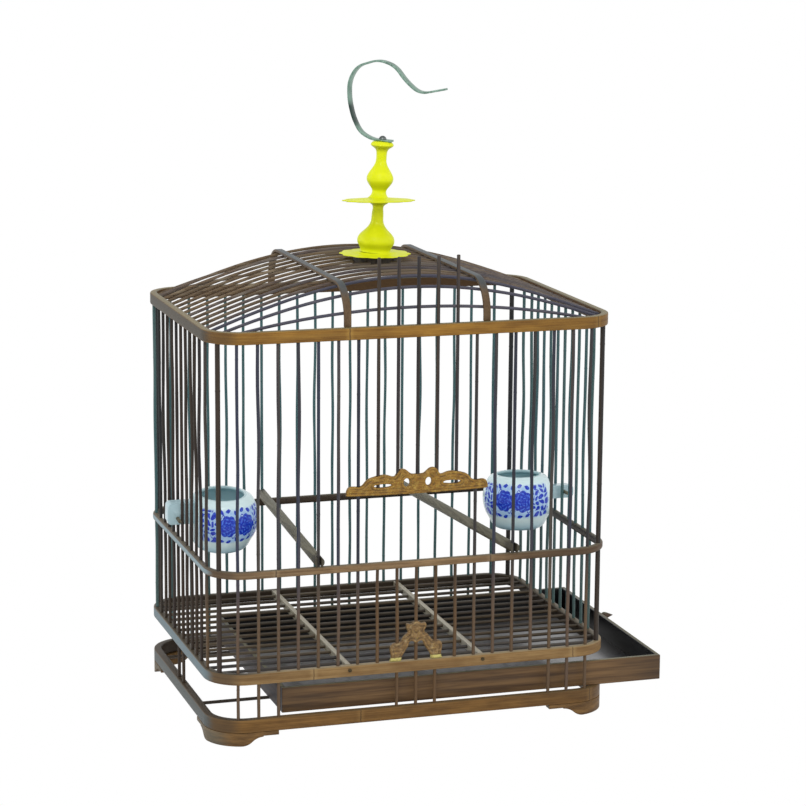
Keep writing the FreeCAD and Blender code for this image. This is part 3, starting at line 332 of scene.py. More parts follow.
def trayFinish(name, grain, inside=None):
    # stained boards: brown outside, dark and glossy on faces that look towards the tray's middle
    finish = Finish(name)
    x, y, z = finish.place()
    nx, ny, nz = finish.facing()
    coarse = {"x": (9, 220, 220), "y": (220, 9, 220)}[grain]
    fine = {"x": (22, 1100, 1100), "y": (1100, 22, 1100)}[grain]
    figure = finish.speck(x * coarse[0], y * coarse[1], z * coarse[2], 3.0, 0.6)
    pore = finish.speck(x * fine[0], y * fine[1], z * fine[2])
    wear = finish.speck(x * 12, y * 12, z * 30, 3.0, 0.6)
    gloss = 0.0
    if inside:
        depth = (x - trayTone["middle"]) * nx if inside == "x" else y * ny
        gloss = depth.fade(0.0, -0.05)
    # a painted highlight on upper faces, painted shade on faces turned to the left
    color = finish.lay(trayTone, (figure.fade(0.3, 0.7), "light"), (pore.fade(0.55, 0.8) * 0.5, "pore"),
                       (wear.fade(0.5, 0.75) * 0.35, "wear"), (nz.fade(0.6, 0.95) * 0.75, "top"),
                       (nx.fade(-0.5, -0.9) * 0.8, "left"), (x.fade(0.17, 0.25) * 0.4, "right"),
                       (gloss, "inside"))
    return finish.set(color, 0.48 + 0.15 * pore - gloss * 0.22, (figure * 0.3 + pore * 0.4, 0.0002, 0.5),
                      0.04 + gloss * 0.16)


def footFinish(name, tone):
    finish = Finish(name)
    x, y, z = finish.place()
    nx, ny, nz = finish.facing()
    figure = finish.speck(x * 40, y * 40, z * 260, 3.0, 0.6)
    pore = finish.speck(x * 160, y * 160, z * 1100)
    # a painted reflection on faces turned to the left, painted shade on faces turned down
    color = finish.lay(tone, (figure.fade(0.3, 0.7), "light"), (pore.fade(0.55, 0.8) * 0.4, "pore"),
                       (nx.fade(-0.4, -0.9) * 0.45, "left"), (nz.fade(-0.3, -0.9) * 0.6, "under"))
    return finish.set(color, 0.5 + 0.15 * pore, (figure * 0.3 + pore * 0.4, 0.0002, 0.5), 0.04, 0.3)


def trayFloorFinish(name, tone):
    # black lacquer, with a painted bluish reflection along the front, paler at the right front
    finish = Finish(name)
    x, y, z = finish.place()
    figure = finish.speck(x * 7, y * 160, z * 160, 3.0, 0.6)
    wear = finish.speck(x * 26, y * 26, 2.0, 3.0, 0.6)
    color = finish.lay(tone, (figure.fade(0.3, 0.75), "light"), (wear.fade(0.55, 0.8) * 0.4, "wear"),
                       (y.fade(-0.03, -0.11) * 0.5, "front"),
                       (y.fade(-0.05, -0.10) * x.fade(0.0, 0.10) * 0.6, "sheen"))
    return finish.set(color, 0.24 + 0.2 * wear, (figure, 0.0001, 0.4), 0.6, 0.15, 0.5)


def yellowFinish(name, tone):
    finish = Finish(name)
    x, y, z = finish.place()
    nz = finish.facing()[2]
    ripple = finish.speck(x * 90, y * 90, z * 160)
    wear = finish.speck(x * 160, y * 160, z * 60, 3.0, 0.6)
    # painted shade on faces turned down
    color = finish.lay(tone, (ripple.fade(0.35, 0.7) * 0.6, "light"), (wear.fade(0.62, 0.8) * 0.3, "wear"),
                       (nz.fade(0.0, -0.8) * 0.6, "under"))
    return finish.set(color, 0.36 + 0.1 * wear, (ripple * 0.6 + wear * 0.1, 0.0003, 0.25),
                      0.12 - nz.fade(0.4, 0.9) * 0.12, 0.08, 0.1)


footTones = {"foot_wood": {"dark": (84, 60, 32), "light": (128, 96, 54), "pore": (56, 40, 26),
                           "left": (96, 104, 96), "under": (48, 38, 28)}}
trayFloorTones = {"tray_floor_lacquer": {"dark": (22, 21, 22), "light": (38, 35, 33), "wear": (52, 52, 56),
                                         "front": (58, 66, 82), "sheen": (96, 104, 124)}}
yellowTones = {"yellow_lacquer": {"dark": (226, 234, 20), "light": (238, 243, 38), "wear": (188, 188, 20),
                                  "under": (140, 144, 16)}}
carvedTones = {
    "carved_rail_wood": {"dark": (124, 87, 27), "light": (157, 118, 45), "pale": (188, 155, 78),
                         "fleck": (190, 180, 84), "deep": (66, 44, 20)},
    "carved_ornament_wood": {"dark": (98, 72, 38), "light": (142, 112, 70), "pale": (182, 160, 118),
                             "fleck": (190, 166, 76), "deep": (50, 36, 22), "sole": (206, 198, 118),
                             "soleTop": 68.8 * mm},
}


def carvedFinish(name, tone):
    # gilt brown carving, with painted shade in its grooves and along its outline; soles below soleTop are
    # bright
    finish = Finish(name)
    x, y, z = finish.place()
    fibre = finish.speck(x * 90, y * 600, z * 800, 3.0, 0.6)
    patch = finish.speck(x * 240, y * 240, z * 240, 3.0, 0.6)
    fleck = finish.speck(x * 900, y * 900, z * 900)
    deep = finish.node("Attribute", {"attribute_name": "carved"}, output=2)
    top = tone.get("soleTop", 0.0)
    sole = z.fade(top + 0.0004, top - 0.0004) * (0.35 + 0.5 * patch.fade(0.35, 0.6))
    color = finish.lay(tone, (fibre.fade(0.3, 0.7), "light"), (patch.fade(0.5, 0.75) * 0.6, "pale"),
                       (fleck.fade(0.6, 0.72) * 0.6, "fleck"), (deep.fade(0.15, 1.0) * 0.55, "deep"),
                       (sole, "sole"))
    return finish.set(color, 0.42 + 0.15 * fibre, (fibre * 0.5 + patch * 0.9, 0.0004, 0.6), 0.06,
                      specular=0.3)


steelTones = {
    "hook_steel": {"dark": (106, 134, 120), "light": (144, 172, 158), "stain": (78, 96, 90),
                   "band": (40, 50, 50, 0.85), "stretch": (0.529, 0.543)},
    "nail_iron": {"dark": (58, 50, 38), "light": (92, 80, 58), "stain": (44, 38, 30)},
    "fastening_steel": {"dark": (78, 84, 84), "light": (116, 122, 120), "stain": (70, 62, 50)},
}


def steelFinish(name, tone):
    # brushed steel, with a darker band on the stretch between two heights
    finish = Finish(name)
    x, y, z = finish.place()
    brush = finish.speck(x * 70, y * 900, z * 140)
    stain = finish.speck(x * 34, y * 34, z * 34, 3.0, 0.6)
    low, high = tone.get("stretch", (0, 0))
    band = z.fade(low - 0.006, low + 0.002) * z.fade(high + 0.008, high)
    color = finish.lay(tone, (brush.fade(0.25, 0.75), "light"), (stain.fade(0.48, 0.72) * 0.75, "stain"),
                       (band, "band"))
    return finish.set(color, 0.26 + 0.16 * brush + 0.1 * stain, (brush, 0.00005, 0.4), 0.0,
                      specular=0.5, metallic=1.0)


# The cups' painting, in metres round and up the cup: (place), size and turn of each mark

cupPaint = {"blossoms": [((-0.0096, 0.0236), 0.0098, 0.4), ((0.0086, 0.0234), 0.0100, 1.7)],
            "leaves": [((-0.0158, 0.0356), 0.0058, -0.8), ((-0.0092, 0.0366), 0.0056, 0.3),
                       ((-0.0016, 0.0344), 0.0062, -1.0), ((0.0056, 0.0366), 0.0058, 0.4),
                       ((0.0132, 0.0354), 0.0060, -0.4), ((-0.0158, 0.0106), 0.0058, -0.3),
                       ((-0.0088, 0.0098), 0.0058, 0.4), ((-0.0010, 0.0114), 0.0062, -0.9),
                       ((0.0060, 0.0098), 0.0060, 0.2), ((0.0136, 0.0108), 0.0058, 0.6),
                       ((-0.0006, 0.0300), 0.0050, 0.9), ((-0.0004, 0.0164), 0.0050, -0.7)],
            "fields": [((0.0, 0.0010), 0.5), ((0.0058, 0.0062), -0.4), ((0.0058, 0.0012), -0.9),
                       ((0.0, 0.0064), 1.0)],
            "leafCell": (0.0116, 0.0104), "leafLength": 0.0068, "near": (0.0178, 0.0192),
            "far": (0.0392, 0.0352), "low": (0.0082, 0.0098), "high": (0.0378, 0.0362),
            "repeat": 0.10525, "middle": 0.0232, "lift": 0.0064, "stretch": 1.07,
            "glaze": (226, 250, 254), "shadeGlaze": (156, 196, 212), "inside": (196, 226, 232),
            "lug": (176, 204, 212), "pale": (124, 178, 250), "paint": (8, 46, 192), "wash": (78, 128, 242)}


def petalBlossom(along, up, place, reach, turn):
    # a round many-petalled blossom: its mask and the light lines between the petals
    across = along - place[0]
    rise = up - place[1]
    distance = (across * across + rise * rise) ** 0.5
    angle = rise.maths("ARCTAN2", rise, across)
    outer = (abs((angle * 4 + turn).wave()) * 0.14 + 0.86) * reach
    mask = (outer - distance).fade(-0.00015, 0.00025)
    ringLine = (distance * (2 * math.pi / (reach * 0.31)) + (angle * 5 + turn).wave() * 1.3).wave()
    spoke = (angle * 8 + distance * 900 + turn).wave()
    lines = (ringLine * 0.65 + spoke * 0.35).fade(0.15, 0.75) * distance.fade(0.0, reach * 0.3)
    return mask, lines


def leafMark(along, up, place, length, turn):
    # a pointed leaf, length long, turned from the level
    across = along - place[0]
    rise = up - place[1]
    run = across * math.cos(turn) + rise * math.sin(turn)
    side = abs(rise * math.cos(turn) - across * math.sin(turn))
    width = 1 - (run / (length / 2)) ** 2
    return (width * (length * 0.27) - side).fade(-0.0001, 0.0002)


def leafField(along, up, place, turn):
    # the same leaf again and again, on a grid that starts at place
    wide, tall = cupPaint["leafCell"]
    return leafMark((along - place[0]).wrapped(wide), (up - place[1]).wrapped(tall), (0.0, 0.0),
                    cupPaint["leafLength"], turn)


def porcelainFinish(name, tone):
    # white glaze with a painted band of blossoms and leaves, on the cup's own map
    finish = Finish(name)
    round_, up = finish.sheetPlace()

    def wobble(scale, seed, detail=2.0):
        return finish.speck(round_ * scale, up * scale, seed, detail)

    drift = wobble(260, 0.0) - 0.5
    lift = wobble(260, 9.0) - 0.5
    wash = wobble(520, 4.0)
    along = (round_ + drift * 0.0016).wrapped(tone["repeat"])
    height = (up + lift * 0.0016 - tone["middle"] - tone["lift"]) / tone["stretch"] + tone["middle"]
    blossoms = [petalBlossom(along, height, *blossom) for blossom in tone["blossoms"]]
    painted = highest(mask for mask, lines in blossoms)
    light = highest(mask * lines for mask, lines in blossoms)
    leaves = highest(leafMark(along, height, *leaf) for leaf in tone["leaves"])
    wander = along + (wobble(110, 12.0, 0.0) - 0.5) * 0.008
    stray = height + (wobble(110, 17.0, 0.0) - 0.5) * 0.008
    field = highest(leafField(wander, stray, *leaf) for leaf in tone["fields"])
    sides = abs(along).fade(*tone["near"]) * abs(along).fade(*tone["far"])
    leaves = leaves.above(field * sides * height.fade(*tone["low"]) * height.fade(*tone["high"]))
    vine = abs(height - tone["middle"] - (along * 330).wave() * 0.0100).fade(0.0007, 0.0003)
    vine = vine * abs(along).fade(0.0365, 0.0350)
    # the map puts the cup's inside above 0.15 and the lug above 0.08
    inside = up.fade(0.15, 0.151)
    band = abs(along).fade(0.0400, 0.0350) * height.fade(0.0072, 0.0105) * height.fade(0.0390, 0.0350)
    tint = (light * 0.9).above(wash.fade(0.5, 0.7) * 0.6 * painted.above(leaves))
    # painted shade: the glaze darker towards the foot, greyer inside and on the lug
    color = finish.lay(tone, (up.fade(0.012, 0.0), "shadeGlaze"), (inside, "inside"),
                       (up.fade(0.07, 0.08) * (1 - inside), "lug"), (band * (0.3 + 0.55 * wash), "pale"),
                       (highest((painted, leaves, vine)), "paint"), (tint, "wash"), start="glaze")
    return finish.set(color, 0.2 + 0.06 * wash, (drift, 0.0002, 0.15), 0.3, 0.06, 0.35)


print("finishes")
finishes = {}
for make, tones in ((hoopFinish, hoopTones), (barFinish, barTones), (lengthFinish, lengthTones),
                    (depthFinish, depthTones), (footFinish, footTones), (trayFloorFinish, trayFloorTones),
                    (yellowFinish, yellowTones), (carvedFinish, carvedTones), (steelFinish, steelTones),
                    (porcelainFinish, {"blue_white_porcelain": cupPaint})):
    for name, tone in tones.items():
        finishes[name] = make(name, tone)
for name, grain, inside in (("tray_wood_long", "x", "y"), ("tray_wood_end", "y", "x"),
                            ("tray_knob_wood", "x", None)):
    finishes[name] = trayFinish(name, grain, inside)


# Mesh helpers

def addPiece(name, mesh, finish, replaced, smoothAngle=38):
    data = bpy.data.meshes.new(name)
    mesh.to_mesh(data)
    mesh.free()
    data.polygons.foreach_set("use_smooth", [True] * len(data.polygons))
    data.set_sharp_from_angle(angle=math.radians(smoothAngle))
    data.materials.append(finishes[finish])
    piece = bpy.data.objects.new(name, data)
    bpy.context.scene.collection.objects.link(piece)
    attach(piece, bodyOf[replaced[0]])
    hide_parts(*replaced)


def mergedCopy(node):
    mesh = bmesh.new()
    mesh.from_mesh(nodes[node].data)
    bmesh.ops.remove_doubles(mesh, verts=mesh.verts, dist=0.002 * mm)
    bmesh.ops.dissolve_limit(mesh, angle_limit=math.radians(0.5), verts=mesh.verts, edges=mesh.edges)
    return mesh


def easeEdges(mesh, width, segments=2, angle=35):
    sharp = [edge for edge in mesh.edges if edge.calc_face_angle(0) > math.radians(angle)]
    bmesh.ops.bevel(mesh, geom=sharp, offset=width, offset_type="OFFSET", affect="EDGES",
                    segments=segments, profile=0.5, material=-1, clamp_overlap=True)


def softCopy(name, node, finish, width):
    # the frame's shape, its edges eased in two steps, or in three where they are wide
    mesh = mergedCopy(node)
    if width:
        easeEdges(mesh, width, 3 if width >= 0.5 * mm else 2)
    addPiece(name, mesh, finish, [node])


def loosePieces(mesh):
    # the vertices of each loose part, the parts in the order of their first vertices
    seen = set()
    for first in mesh.verts:
        if first in seen:
            continue
        seen.add(first)
        group = [first]
        for vert in group:
            for line in vert.link_edges:
                other = line.other_vert(vert)
                if other not in seen:
                    seen.add(other)
                    group.append(other)
        yield group


# Hoops: a rounded box, opened in the middle, with eased edges. For each its thickness, corner
# radius and eased width, in millimetres

hoops = {"top": (6.4, 34, 1.1), "mid": (5.5, 33.7, 2.1), "floor": (6.4, 34, 1.2), "base": (7, 34, 1.1)}
cornerSteps = 14


def alongHoop(x, y, halfX, halfY, radius):
    # distance round the hoop from the middle of the front, in metres
    cornerX = halfX - radius
    cornerY = halfY - radius
    quarter = radius * math.pi / 2
    side = 1 if x >= 0 else -1
    x = abs(x)
    if y < -cornerY and x <= cornerX:
        distance = x
    elif y < -cornerY:
        distance = cornerX + radius * math.atan2(x - cornerX, -y - cornerY)
    elif y <= cornerY:
        distance = cornerX + quarter + y + cornerY
    elif x > cornerX:
        distance = cornerX + quarter + 2 * cornerY + radius * math.atan2(y - cornerY, x - cornerX)
    else:
        distance = cornerX + 2 * quarter + 2 * cornerY + cornerX - x
    return side * distance


def mapHoop(mesh, halfX, halfY, radius):
    grain = mesh.loops.layers.uv.new("grain")
    whole = 4 * (halfX + halfY) - 8 * radius + 2 * math.pi * radius
    for face in mesh.faces:
        places = []
        for loop in face.loops:
            x, y, z = loop.vert.co
            outX = max(abs(x) - halfX + radius, 0)
            outY = max(abs(y) - halfY + radius, 0)
            outward = radius - math.hypot(outX, outY)
            places.append([alongHoop(x, y, halfX, halfY, radius), z + outward])
        span = max(place[0] for place in places)
        for loop, place in zip(face.loops, places):
            if span - place[0] > whole / 2:
                place[0] += whole
            loop[grain].uv = place


def makeHoop(level, thick, radius, ease):
    low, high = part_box(f"{level}_ring")
    halfX, halfY = high.x, high.y
    mesh = bmesh.new()
    bmesh.ops.create_cube(mesh, size=1)
    bmesh.ops.scale(mesh, vec=(2 * halfX, 2 * halfY, high.z - low.z), verts=mesh.verts)
    bmesh.ops.translate(mesh, vec=(0, 0, (low.z + high.z) / 2), verts=mesh.verts)
    upright = [edge for edge in mesh.edges if abs(edge.verts[0].co.z - edge.verts[1].co.z) > mm]
    bmesh.ops.bevel(mesh, geom=upright, offset=radius, offset_type="OFFSET", affect="EDGES",
                    segments=cornerSteps, profile=0.5, material=-1)
    lids = [face for face in mesh.faces if abs(face.normal.z) > 0.9]
    bmesh.ops.inset_individual(mesh, faces=lids, thickness=thick, use_even_offset=True)
    rims = [edge for face in lids for edge in face.edges]
    bmesh.ops.delete(mesh, geom=lids, context="FACES_ONLY")
    bmesh.ops.bridge_loops(mesh, edges=[edge for edge in rims if edge.is_valid])
    easeEdges(mesh, ease, 3, 60)
    bmesh.ops.recalc_face_normals(mesh, faces=mesh.faces)
    mapHoop(mesh, halfX, halfY, radius)
    addPiece(f"{level}_hoop", mesh, f"{level}_hoop_bamboo", [f"{level}_ring"])


for level, sizes in hoops.items():
    makeHoop(level, *(size * mm for size in sizes))
print("hoops")


# Bars: each rod of a node, a little crooked where nothing slides on it, with faint knots and eased
# ends. The guides are the places, in millimetres, of bars on which something slides

bar = {"sides": 12, "knotReach": 1.1 * mm, "knotSwell": 0.08, "knotStep": 118 * mm, "knotRoom": 6 * mm,
       "endEase": 0.5 * mm, "endShare": 0.8, "stationStep": 14 * mm, "bend": 0.95 * mm,
       "fullBend": 150 * mm, "waves": 11.0, "uneven": 0.09,
       "levels": [12 * mm, 60.4 * mm, 153.8 * mm, 356.6 * mm],
       "straight": ("door_bars", "corner_posts"),
       "guides": [(-54, -130.3), (54, -130.3), (-90, -130.3), (90, -130.3), (-72.9, 130.3), (68.3, 130.3),
                  (-183.3, -9), (-183.3, 9), (183.3, -9), (183.3, 9)]}
# for each group its finish, and its thickness as a share of the frame's
barGroups = {"front_bars": ("bar_bamboo", 0.94), "front_lower_bars": ("lower_bar_bamboo", 0.94),
             "back_bars": ("bar_bamboo", 0.86), "left_bars": ("post_bamboo", 0.94),
             "right_bars": ("bar_bamboo", 0.9), "corner_bars": ("bar_bamboo", 0.92),
             "corner_posts": ("post_bamboo", 1.0), "door_bars": ("door_bar_bamboo", 1.0)}


def barBend(place, level):
    # how far a bar strays sideways at this level: nothing at the hoops, where it is held
    for low, high in zip(bar["levels"], bar["levels"][1:]):
        if low < level < high:
            held = math.sin(math.pi * (level - low) / (high - low)) * min(1, (high - low) / bar["fullBend"])
            seed = Vector((place.x * 900, place.y * 900, level * bar["waves"]))
            return noise.noise_vector(seed) * (bar["bend"] * held * 2)
    return Vector()


def barStations(low, high, radius, seed):
    # (height, radius) up the bar, with a faint knot here and there
    knots = []
    knot = low + bar["knotStep"] * (0.25 + 0.5 * abs(noise.noise(seed * 700)))
    while knot < high - bar["knotRoom"]:
        knots.append(knot)
        knot += bar["knotStep"] * (0.8 + 0.5 * abs(noise.noise(seed * 500 + Vector((0, 0, knot * 40)))))
    stations = [(low, radius * bar["endShare"]), (low + bar["endEase"], radius)]
    for knot in knots:
        stations += [(knot - bar["knotReach"], radius), (knot, radius * (1 + bar["knotSwell"])),
                     (knot + bar["knotReach"], radius)]
    level = low + bar["stationStep"]
    while level < high - bar["stationStep"] / 2:
        if all(abs(level - knot) > 2 * bar["knotReach"] for knot in knots):
            stations.append((level, radius))
        level += bar["stationStep"]
    return sorted(stations) + [(high - bar["endEase"], radius), (high, radius * bar["endShare"])]


def addRod(mesh, place, stations, slim, bent):
    # rings of vertices up the rod, joined by faces, with a cap at each end
    rings = []
    for level, reach in stations:
        shift = barBend(place, level) if bent else Vector()
        share = slim + bar["uneven"] * noise.noise(Vector((place.x * 800, place.y * 800, level * 35)))
        centre = Matrix.Translation((place.x + shift.x, place.y + shift.y, level))
        made = bmesh.ops.create_circle(mesh, segments=bar["sides"], radius=reach * min(share, 1),
                                       matrix=centre)
        rings.append(made["verts"])
    for lower, upper in zip(rings, rings[1:]):
        for side in range(bar["sides"]):
            after = (side + 1) % bar["sides"]
            mesh.faces.new((lower[side], lower[after], upper[after], upper[side]))
    mesh.faces.new(reversed(rings[0]))
    mesh.faces.new(rings[-1])


def makeBars(node, finish, slim):
    source = mergedCopy(node)
    mesh = bmesh.new()
    for group in loosePieces(source):
        places = [vert.co for vert in group]
        low = Vector([min(place[axis] for place in places) for axis in range(3)])
        high = Vector([max(place[axis] for place in places) for axis in range(3)])
        centre = (low + high) / 2
        radius = (high.x - low.x) / 2
        held = any(math.hypot(centre.x - x * mm, centre.y - y * mm) < mm for x, y in bar["guides"])
        addRod(mesh, centre, barStations(low.z, high.z, radius, centre), slim,
               node not in bar["straight"] and not held)
    source.free()
    bmesh.ops.recalc_face_normals(mesh, faces=mesh.faces)
    addPiece(f"{node[:-1]}_set", mesh, finish, [node])


for node, (finish, slim) in barGroups.items():
    makeBars(node, finish, slim)
print("bars")


# Pieces that keep the frame's shape: finish, slot, eased width in millimetres, and node by name

sides = ("left", "right")
framePieces = [
    ("roof_rod_bamboo", "rod_bamboo", 0, {"roof_rod_set": "roof_rods"}),
    ("rib_bamboo", "rod_bamboo", 0.5, {f"roof_rib_strip_{side}": f"roof_rib_{side}" for side in sides}),
    ("boss_wood", "dark_wood", 0, {"roof_boss_block": "roof_boss"}),
    ("floor_rod_bamboo", "rod_bamboo", 0, {"floor_rod_set": "floor_rods"}),
    ("runner_bamboo", "rod_bamboo", 0, {"runner_set": "tray_runners"}),
    ("batten_wood", "pale_wood", 0, {f"batten_strip_{side}": f"floor_batten_{side}" for side in sides}),
    ("nail_iron", "steel", 0, {"nail_set": "batten_nails"}),
    ("foot_wood", "hoop_bamboo", 0.7, {f"foot_bracket_{end}_{side}": f"foot_{end}_{side}"
                                       for end in ("front", "back") for side in sides}),
    ("tray_wood_long", "tray_wood", 0.6, {"tray_side_front": "tray_front", "tray_side_back": "tray_back"}),
    ("tray_wood_end", "tray_wood", 0.6, {f"tray_end_{side}": f"tray_{side}" for side in sides}),
    ("tray_floor_lacquer", "dark_wood", 0, {"tray_floor": "tray_bottom"}),
    ("tray_knob_wood", "dark_wood", 0, {"tray_pull_knob": "tray_knob"}),
    ("perch_wood", "perch_wood", 0.35, {f"perch_stick_{side}": f"perch_{side}" for side in sides}),
    ("yellow_lacquer", "yellow_lacquer", 0, {"finial_turning_lower": "finial_lower",
                                             "finial_turning_upper": "finial_upper"}),
    ("fastening_steel", "steel", 0, {"finial_centre_rod": "finial_rod",
                                     "finial_flat_washer": "finial_washer"}),
    ("fastening_steel", "steel", 0.3, {"finial_hex_nut": "finial_nut"}),
    ("hook_steel", "steel", 0.3, {"hook_strip": "hook"}),
    ("perch_wood", "perch_wood", 0.3, {f"cup_peg_stick_{side}": f"cup_peg_{side}" for side in sides}),
]

for finish, slot, width, pairs in framePieces:
    for name, node in pairs.items():
        softCopy(name, node, finish, width * mm)
print("pieces that keep the frame's shape")


# Lobed plates of the finial: rings of vertices out from the rod, dished, with a rounded edge. For
# each its reach, its height over the foot, its nod, and its profile as (share of reach, millimetres up)

finial = {"lean": 3.7, "plateLean": 0.6, "foot": 411 * mm, "lobes": 12, "lobeDepth": 2.6 * mm,
          "lobeStart": 0.5, "bore": 2.03 * mm, "steps": 144,
          "plates": [("finial_lobed_plate", "finial_plate", 32.7 * mm, 0.0, 0.0,
                      [(0.06, 0.0), (0.5, 0.0), (0.9, 0.0), (0.975, 0.15), (1.0, 0.45), (0.985, 0.75),
                       (0.93, 1.0), (0.84, 1.25), (0.70, 1.5), (0.56, 1.75), (0.545, 2.2), (0.06, 2.2)]),
                     ("finial_lobed_disc", "finial_disc", 33.4 * mm, 49.2 * mm, -3.4,
                      [(0.06, -4.2), (0.14, -4.2), (0.155, -4.0), (0.165, -3.4), (0.28, -1.2),
                       (0.31, -0.5), (0.42, -0.1), (0.6, -0.3), (0.8, -0.55), (0.95, -0.8),
                       (0.992, -0.75), (1.0, -0.35), (0.985, 0.1), (0.93, 0.35), (0.75, 0.8),
                       (0.55, 1.25), (0.40, 1.75), (0.30, 2.0), (0.06, 2.0)])]}


def makeLobed(name, node, reach, level, nod, profile):
    lobeDepth = finial["lobeDepth"] / reach
    mesh = bmesh.new()
    rings = []
    for out, up in profile:
        ring = []
        for step in range(finial["steps"]):
            angle = 2 * math.pi * step / finial["steps"]
            # round lobes with sharp valleys, fading towards the middle
            lobe = abs(math.sin(angle * finial["lobes"] / 2))
            share = max(0, (out - finial["lobeStart"]) / (1 - finial["lobeStart"]))
            radius = max(reach * out * (1 - lobeDepth * (1 - lobe) * share), finial["bore"])
            ring.append(mesh.verts.new((radius * math.cos(angle), radius * math.sin(angle), up * mm)))
        rings.append(ring)
    for inner, outer in zip(rings, rings[1:] + rings[:1]):
        for step in range(finial["steps"]):
            after = (step + 1) % finial["steps"]
            mesh.faces.new((inner[step], outer[step], outer[after], inner[after]))
    bmesh.ops.recalc_face_normals(mesh, faces=mesh.faces)
    seat = Matrix.Rotation(math.radians(finial["lean"]), 3, "Y") @ Vector((0, 0, level))
    place = Matrix.Translation(seat + Vector((0, 0, finial["foot"])))
    place = place @ Matrix.Rotation(math.radians(finial["plateLean"]), 4, "Y")
    place = place @ Matrix.Rotation(math.radians(nod), 4, "X")
    bmesh.ops.transform(mesh, matrix=place, verts=mesh.verts)
    addPiece(name, mesh, "yellow_lacquer", [node], 50)


for plate in finial["plates"]:
    makeLobed(*plate)
print("finial plates")


# Carvings: the frame's outline remeshed finely, rounded towards its edges and grooved

carving = {"voxel": 0.5 * mm, "outlineStep": 0.25 * mm, "round": 2.6 * mm, "edgeShare": 0.5,
           "barPitch": 18 * mm, "barRoom": 2.9 * mm, "barShare": 0.84,
           "grooveDepth": 1.15 * mm, "grooveWidth": 0.95 * mm, "fineWidth": 0.5 * mm, "lumps": 260}
railCut = {"foot": 218 * mm, "inset": 2.4 * mm, "footLine": 4.7 * mm, "footReach": 62 * mm,
           "medalHeight": 8.6 * mm, "medalShare": 0.92, "medalEdge": 6.9 * mm,
           "rings": (5.1 * mm, 3.6 * mm, 2.1 * mm), "ringWidth": 0.34 * mm}
ornamentCut = {"foot": 65.5 * mm, "inset": 2.5 * mm, "lines": ((3.6 * mm, 0.9), (18.5 * mm, 0.6)),
               "crossHeight": 25 * mm, "crossReach": 6.5 * mm, "crossArm": 9 * mm, "crossWidth": 0.45 * mm}


def smoothShare(value, start, end):
    share = min(max((value - start) / (end - start), 0), 1)
    return share * share * (3 - 2 * share)


def outlineTree(mesh, front):
    # points along the outline of the flat front face, holes included
    mesh.normal_update()
    points = []
    for edge in mesh.edges:
        sides = [abs(face.normal.y) > 0.9 for face in edge.link_faces]
        if len(sides) == 2 and sides[0] != sides[1]:
            start, end = (vert.co for vert in edge.verts)
            if abs(start.y - front) < 0.1 * mm and abs(end.y - front) < 0.1 * mm:
                steps = max(1, math.ceil((end - start).length / carving["outlineStep"]))
                points += [start.lerp(end, step / steps) for step in range(steps)]
    tree = kdtree.KDTree(len(points))
    for index, point in enumerate(points):
        tree.insert((point.x, 0, point.z), index)
    tree.balance()
    return tree


def grooveAt(distance, width):
    return max(0, 1 - (distance / width) ** 2)


def railGrooves(x, z, edge):
    # a line inside the scroll's edge, one that parts it from the straight foot, and a medallion
    across = abs(x)
    medal = math.hypot(across / railCut["medalShare"], z - railCut["medalHeight"])
    scroll = smoothShare(across, 9.5 * mm, 11.5 * mm)
    lines = [scroll * grooveAt(edge - railCut["inset"], carving["grooveWidth"]),
             grooveAt(medal - railCut["medalEdge"], carving["fineWidth"])]
    lines += [0.6 * grooveAt(medal - ring, railCut["ringWidth"]) for ring in railCut["rings"]]
    if across <= railCut["footReach"]:
        footLine = grooveAt(z - railCut["footLine"], carving["fineWidth"])
        lines.append(smoothShare(across, 8.5 * mm, 10 * mm) * 0.9 * footLine)
    return max(lines)


def ornamentGrooves(x, z, edge):
    # a line inside the outline, a cross on the crown, and lines above the soles and under the crown
    across = abs(x)
    crown = smoothShare(z, 19 * mm, 21 * mm)
    cross = min(abs(across - abs(z - ornamentCut["crossHeight"])), ornamentCut["crossArm"]) / math.sqrt(2)
    lines = [0.9 * grooveAt(edge - ornamentCut["inset"], carving["grooveWidth"]),
             crown * 0.8 * grooveAt(cross, ornamentCut["crossWidth"]) * (across < ornamentCut["crossReach"])]
    lines += [share * grooveAt(z - level, carving["fineWidth"]) for level, share in ornamentCut["lines"]]
    return max(lines)


def smoothMesh(mesh, factor):
    bmesh.ops.smooth_vert(mesh, verts=mesh.verts, factor=factor, use_axis_x=True, use_axis_y=True,
                          use_axis_z=True)


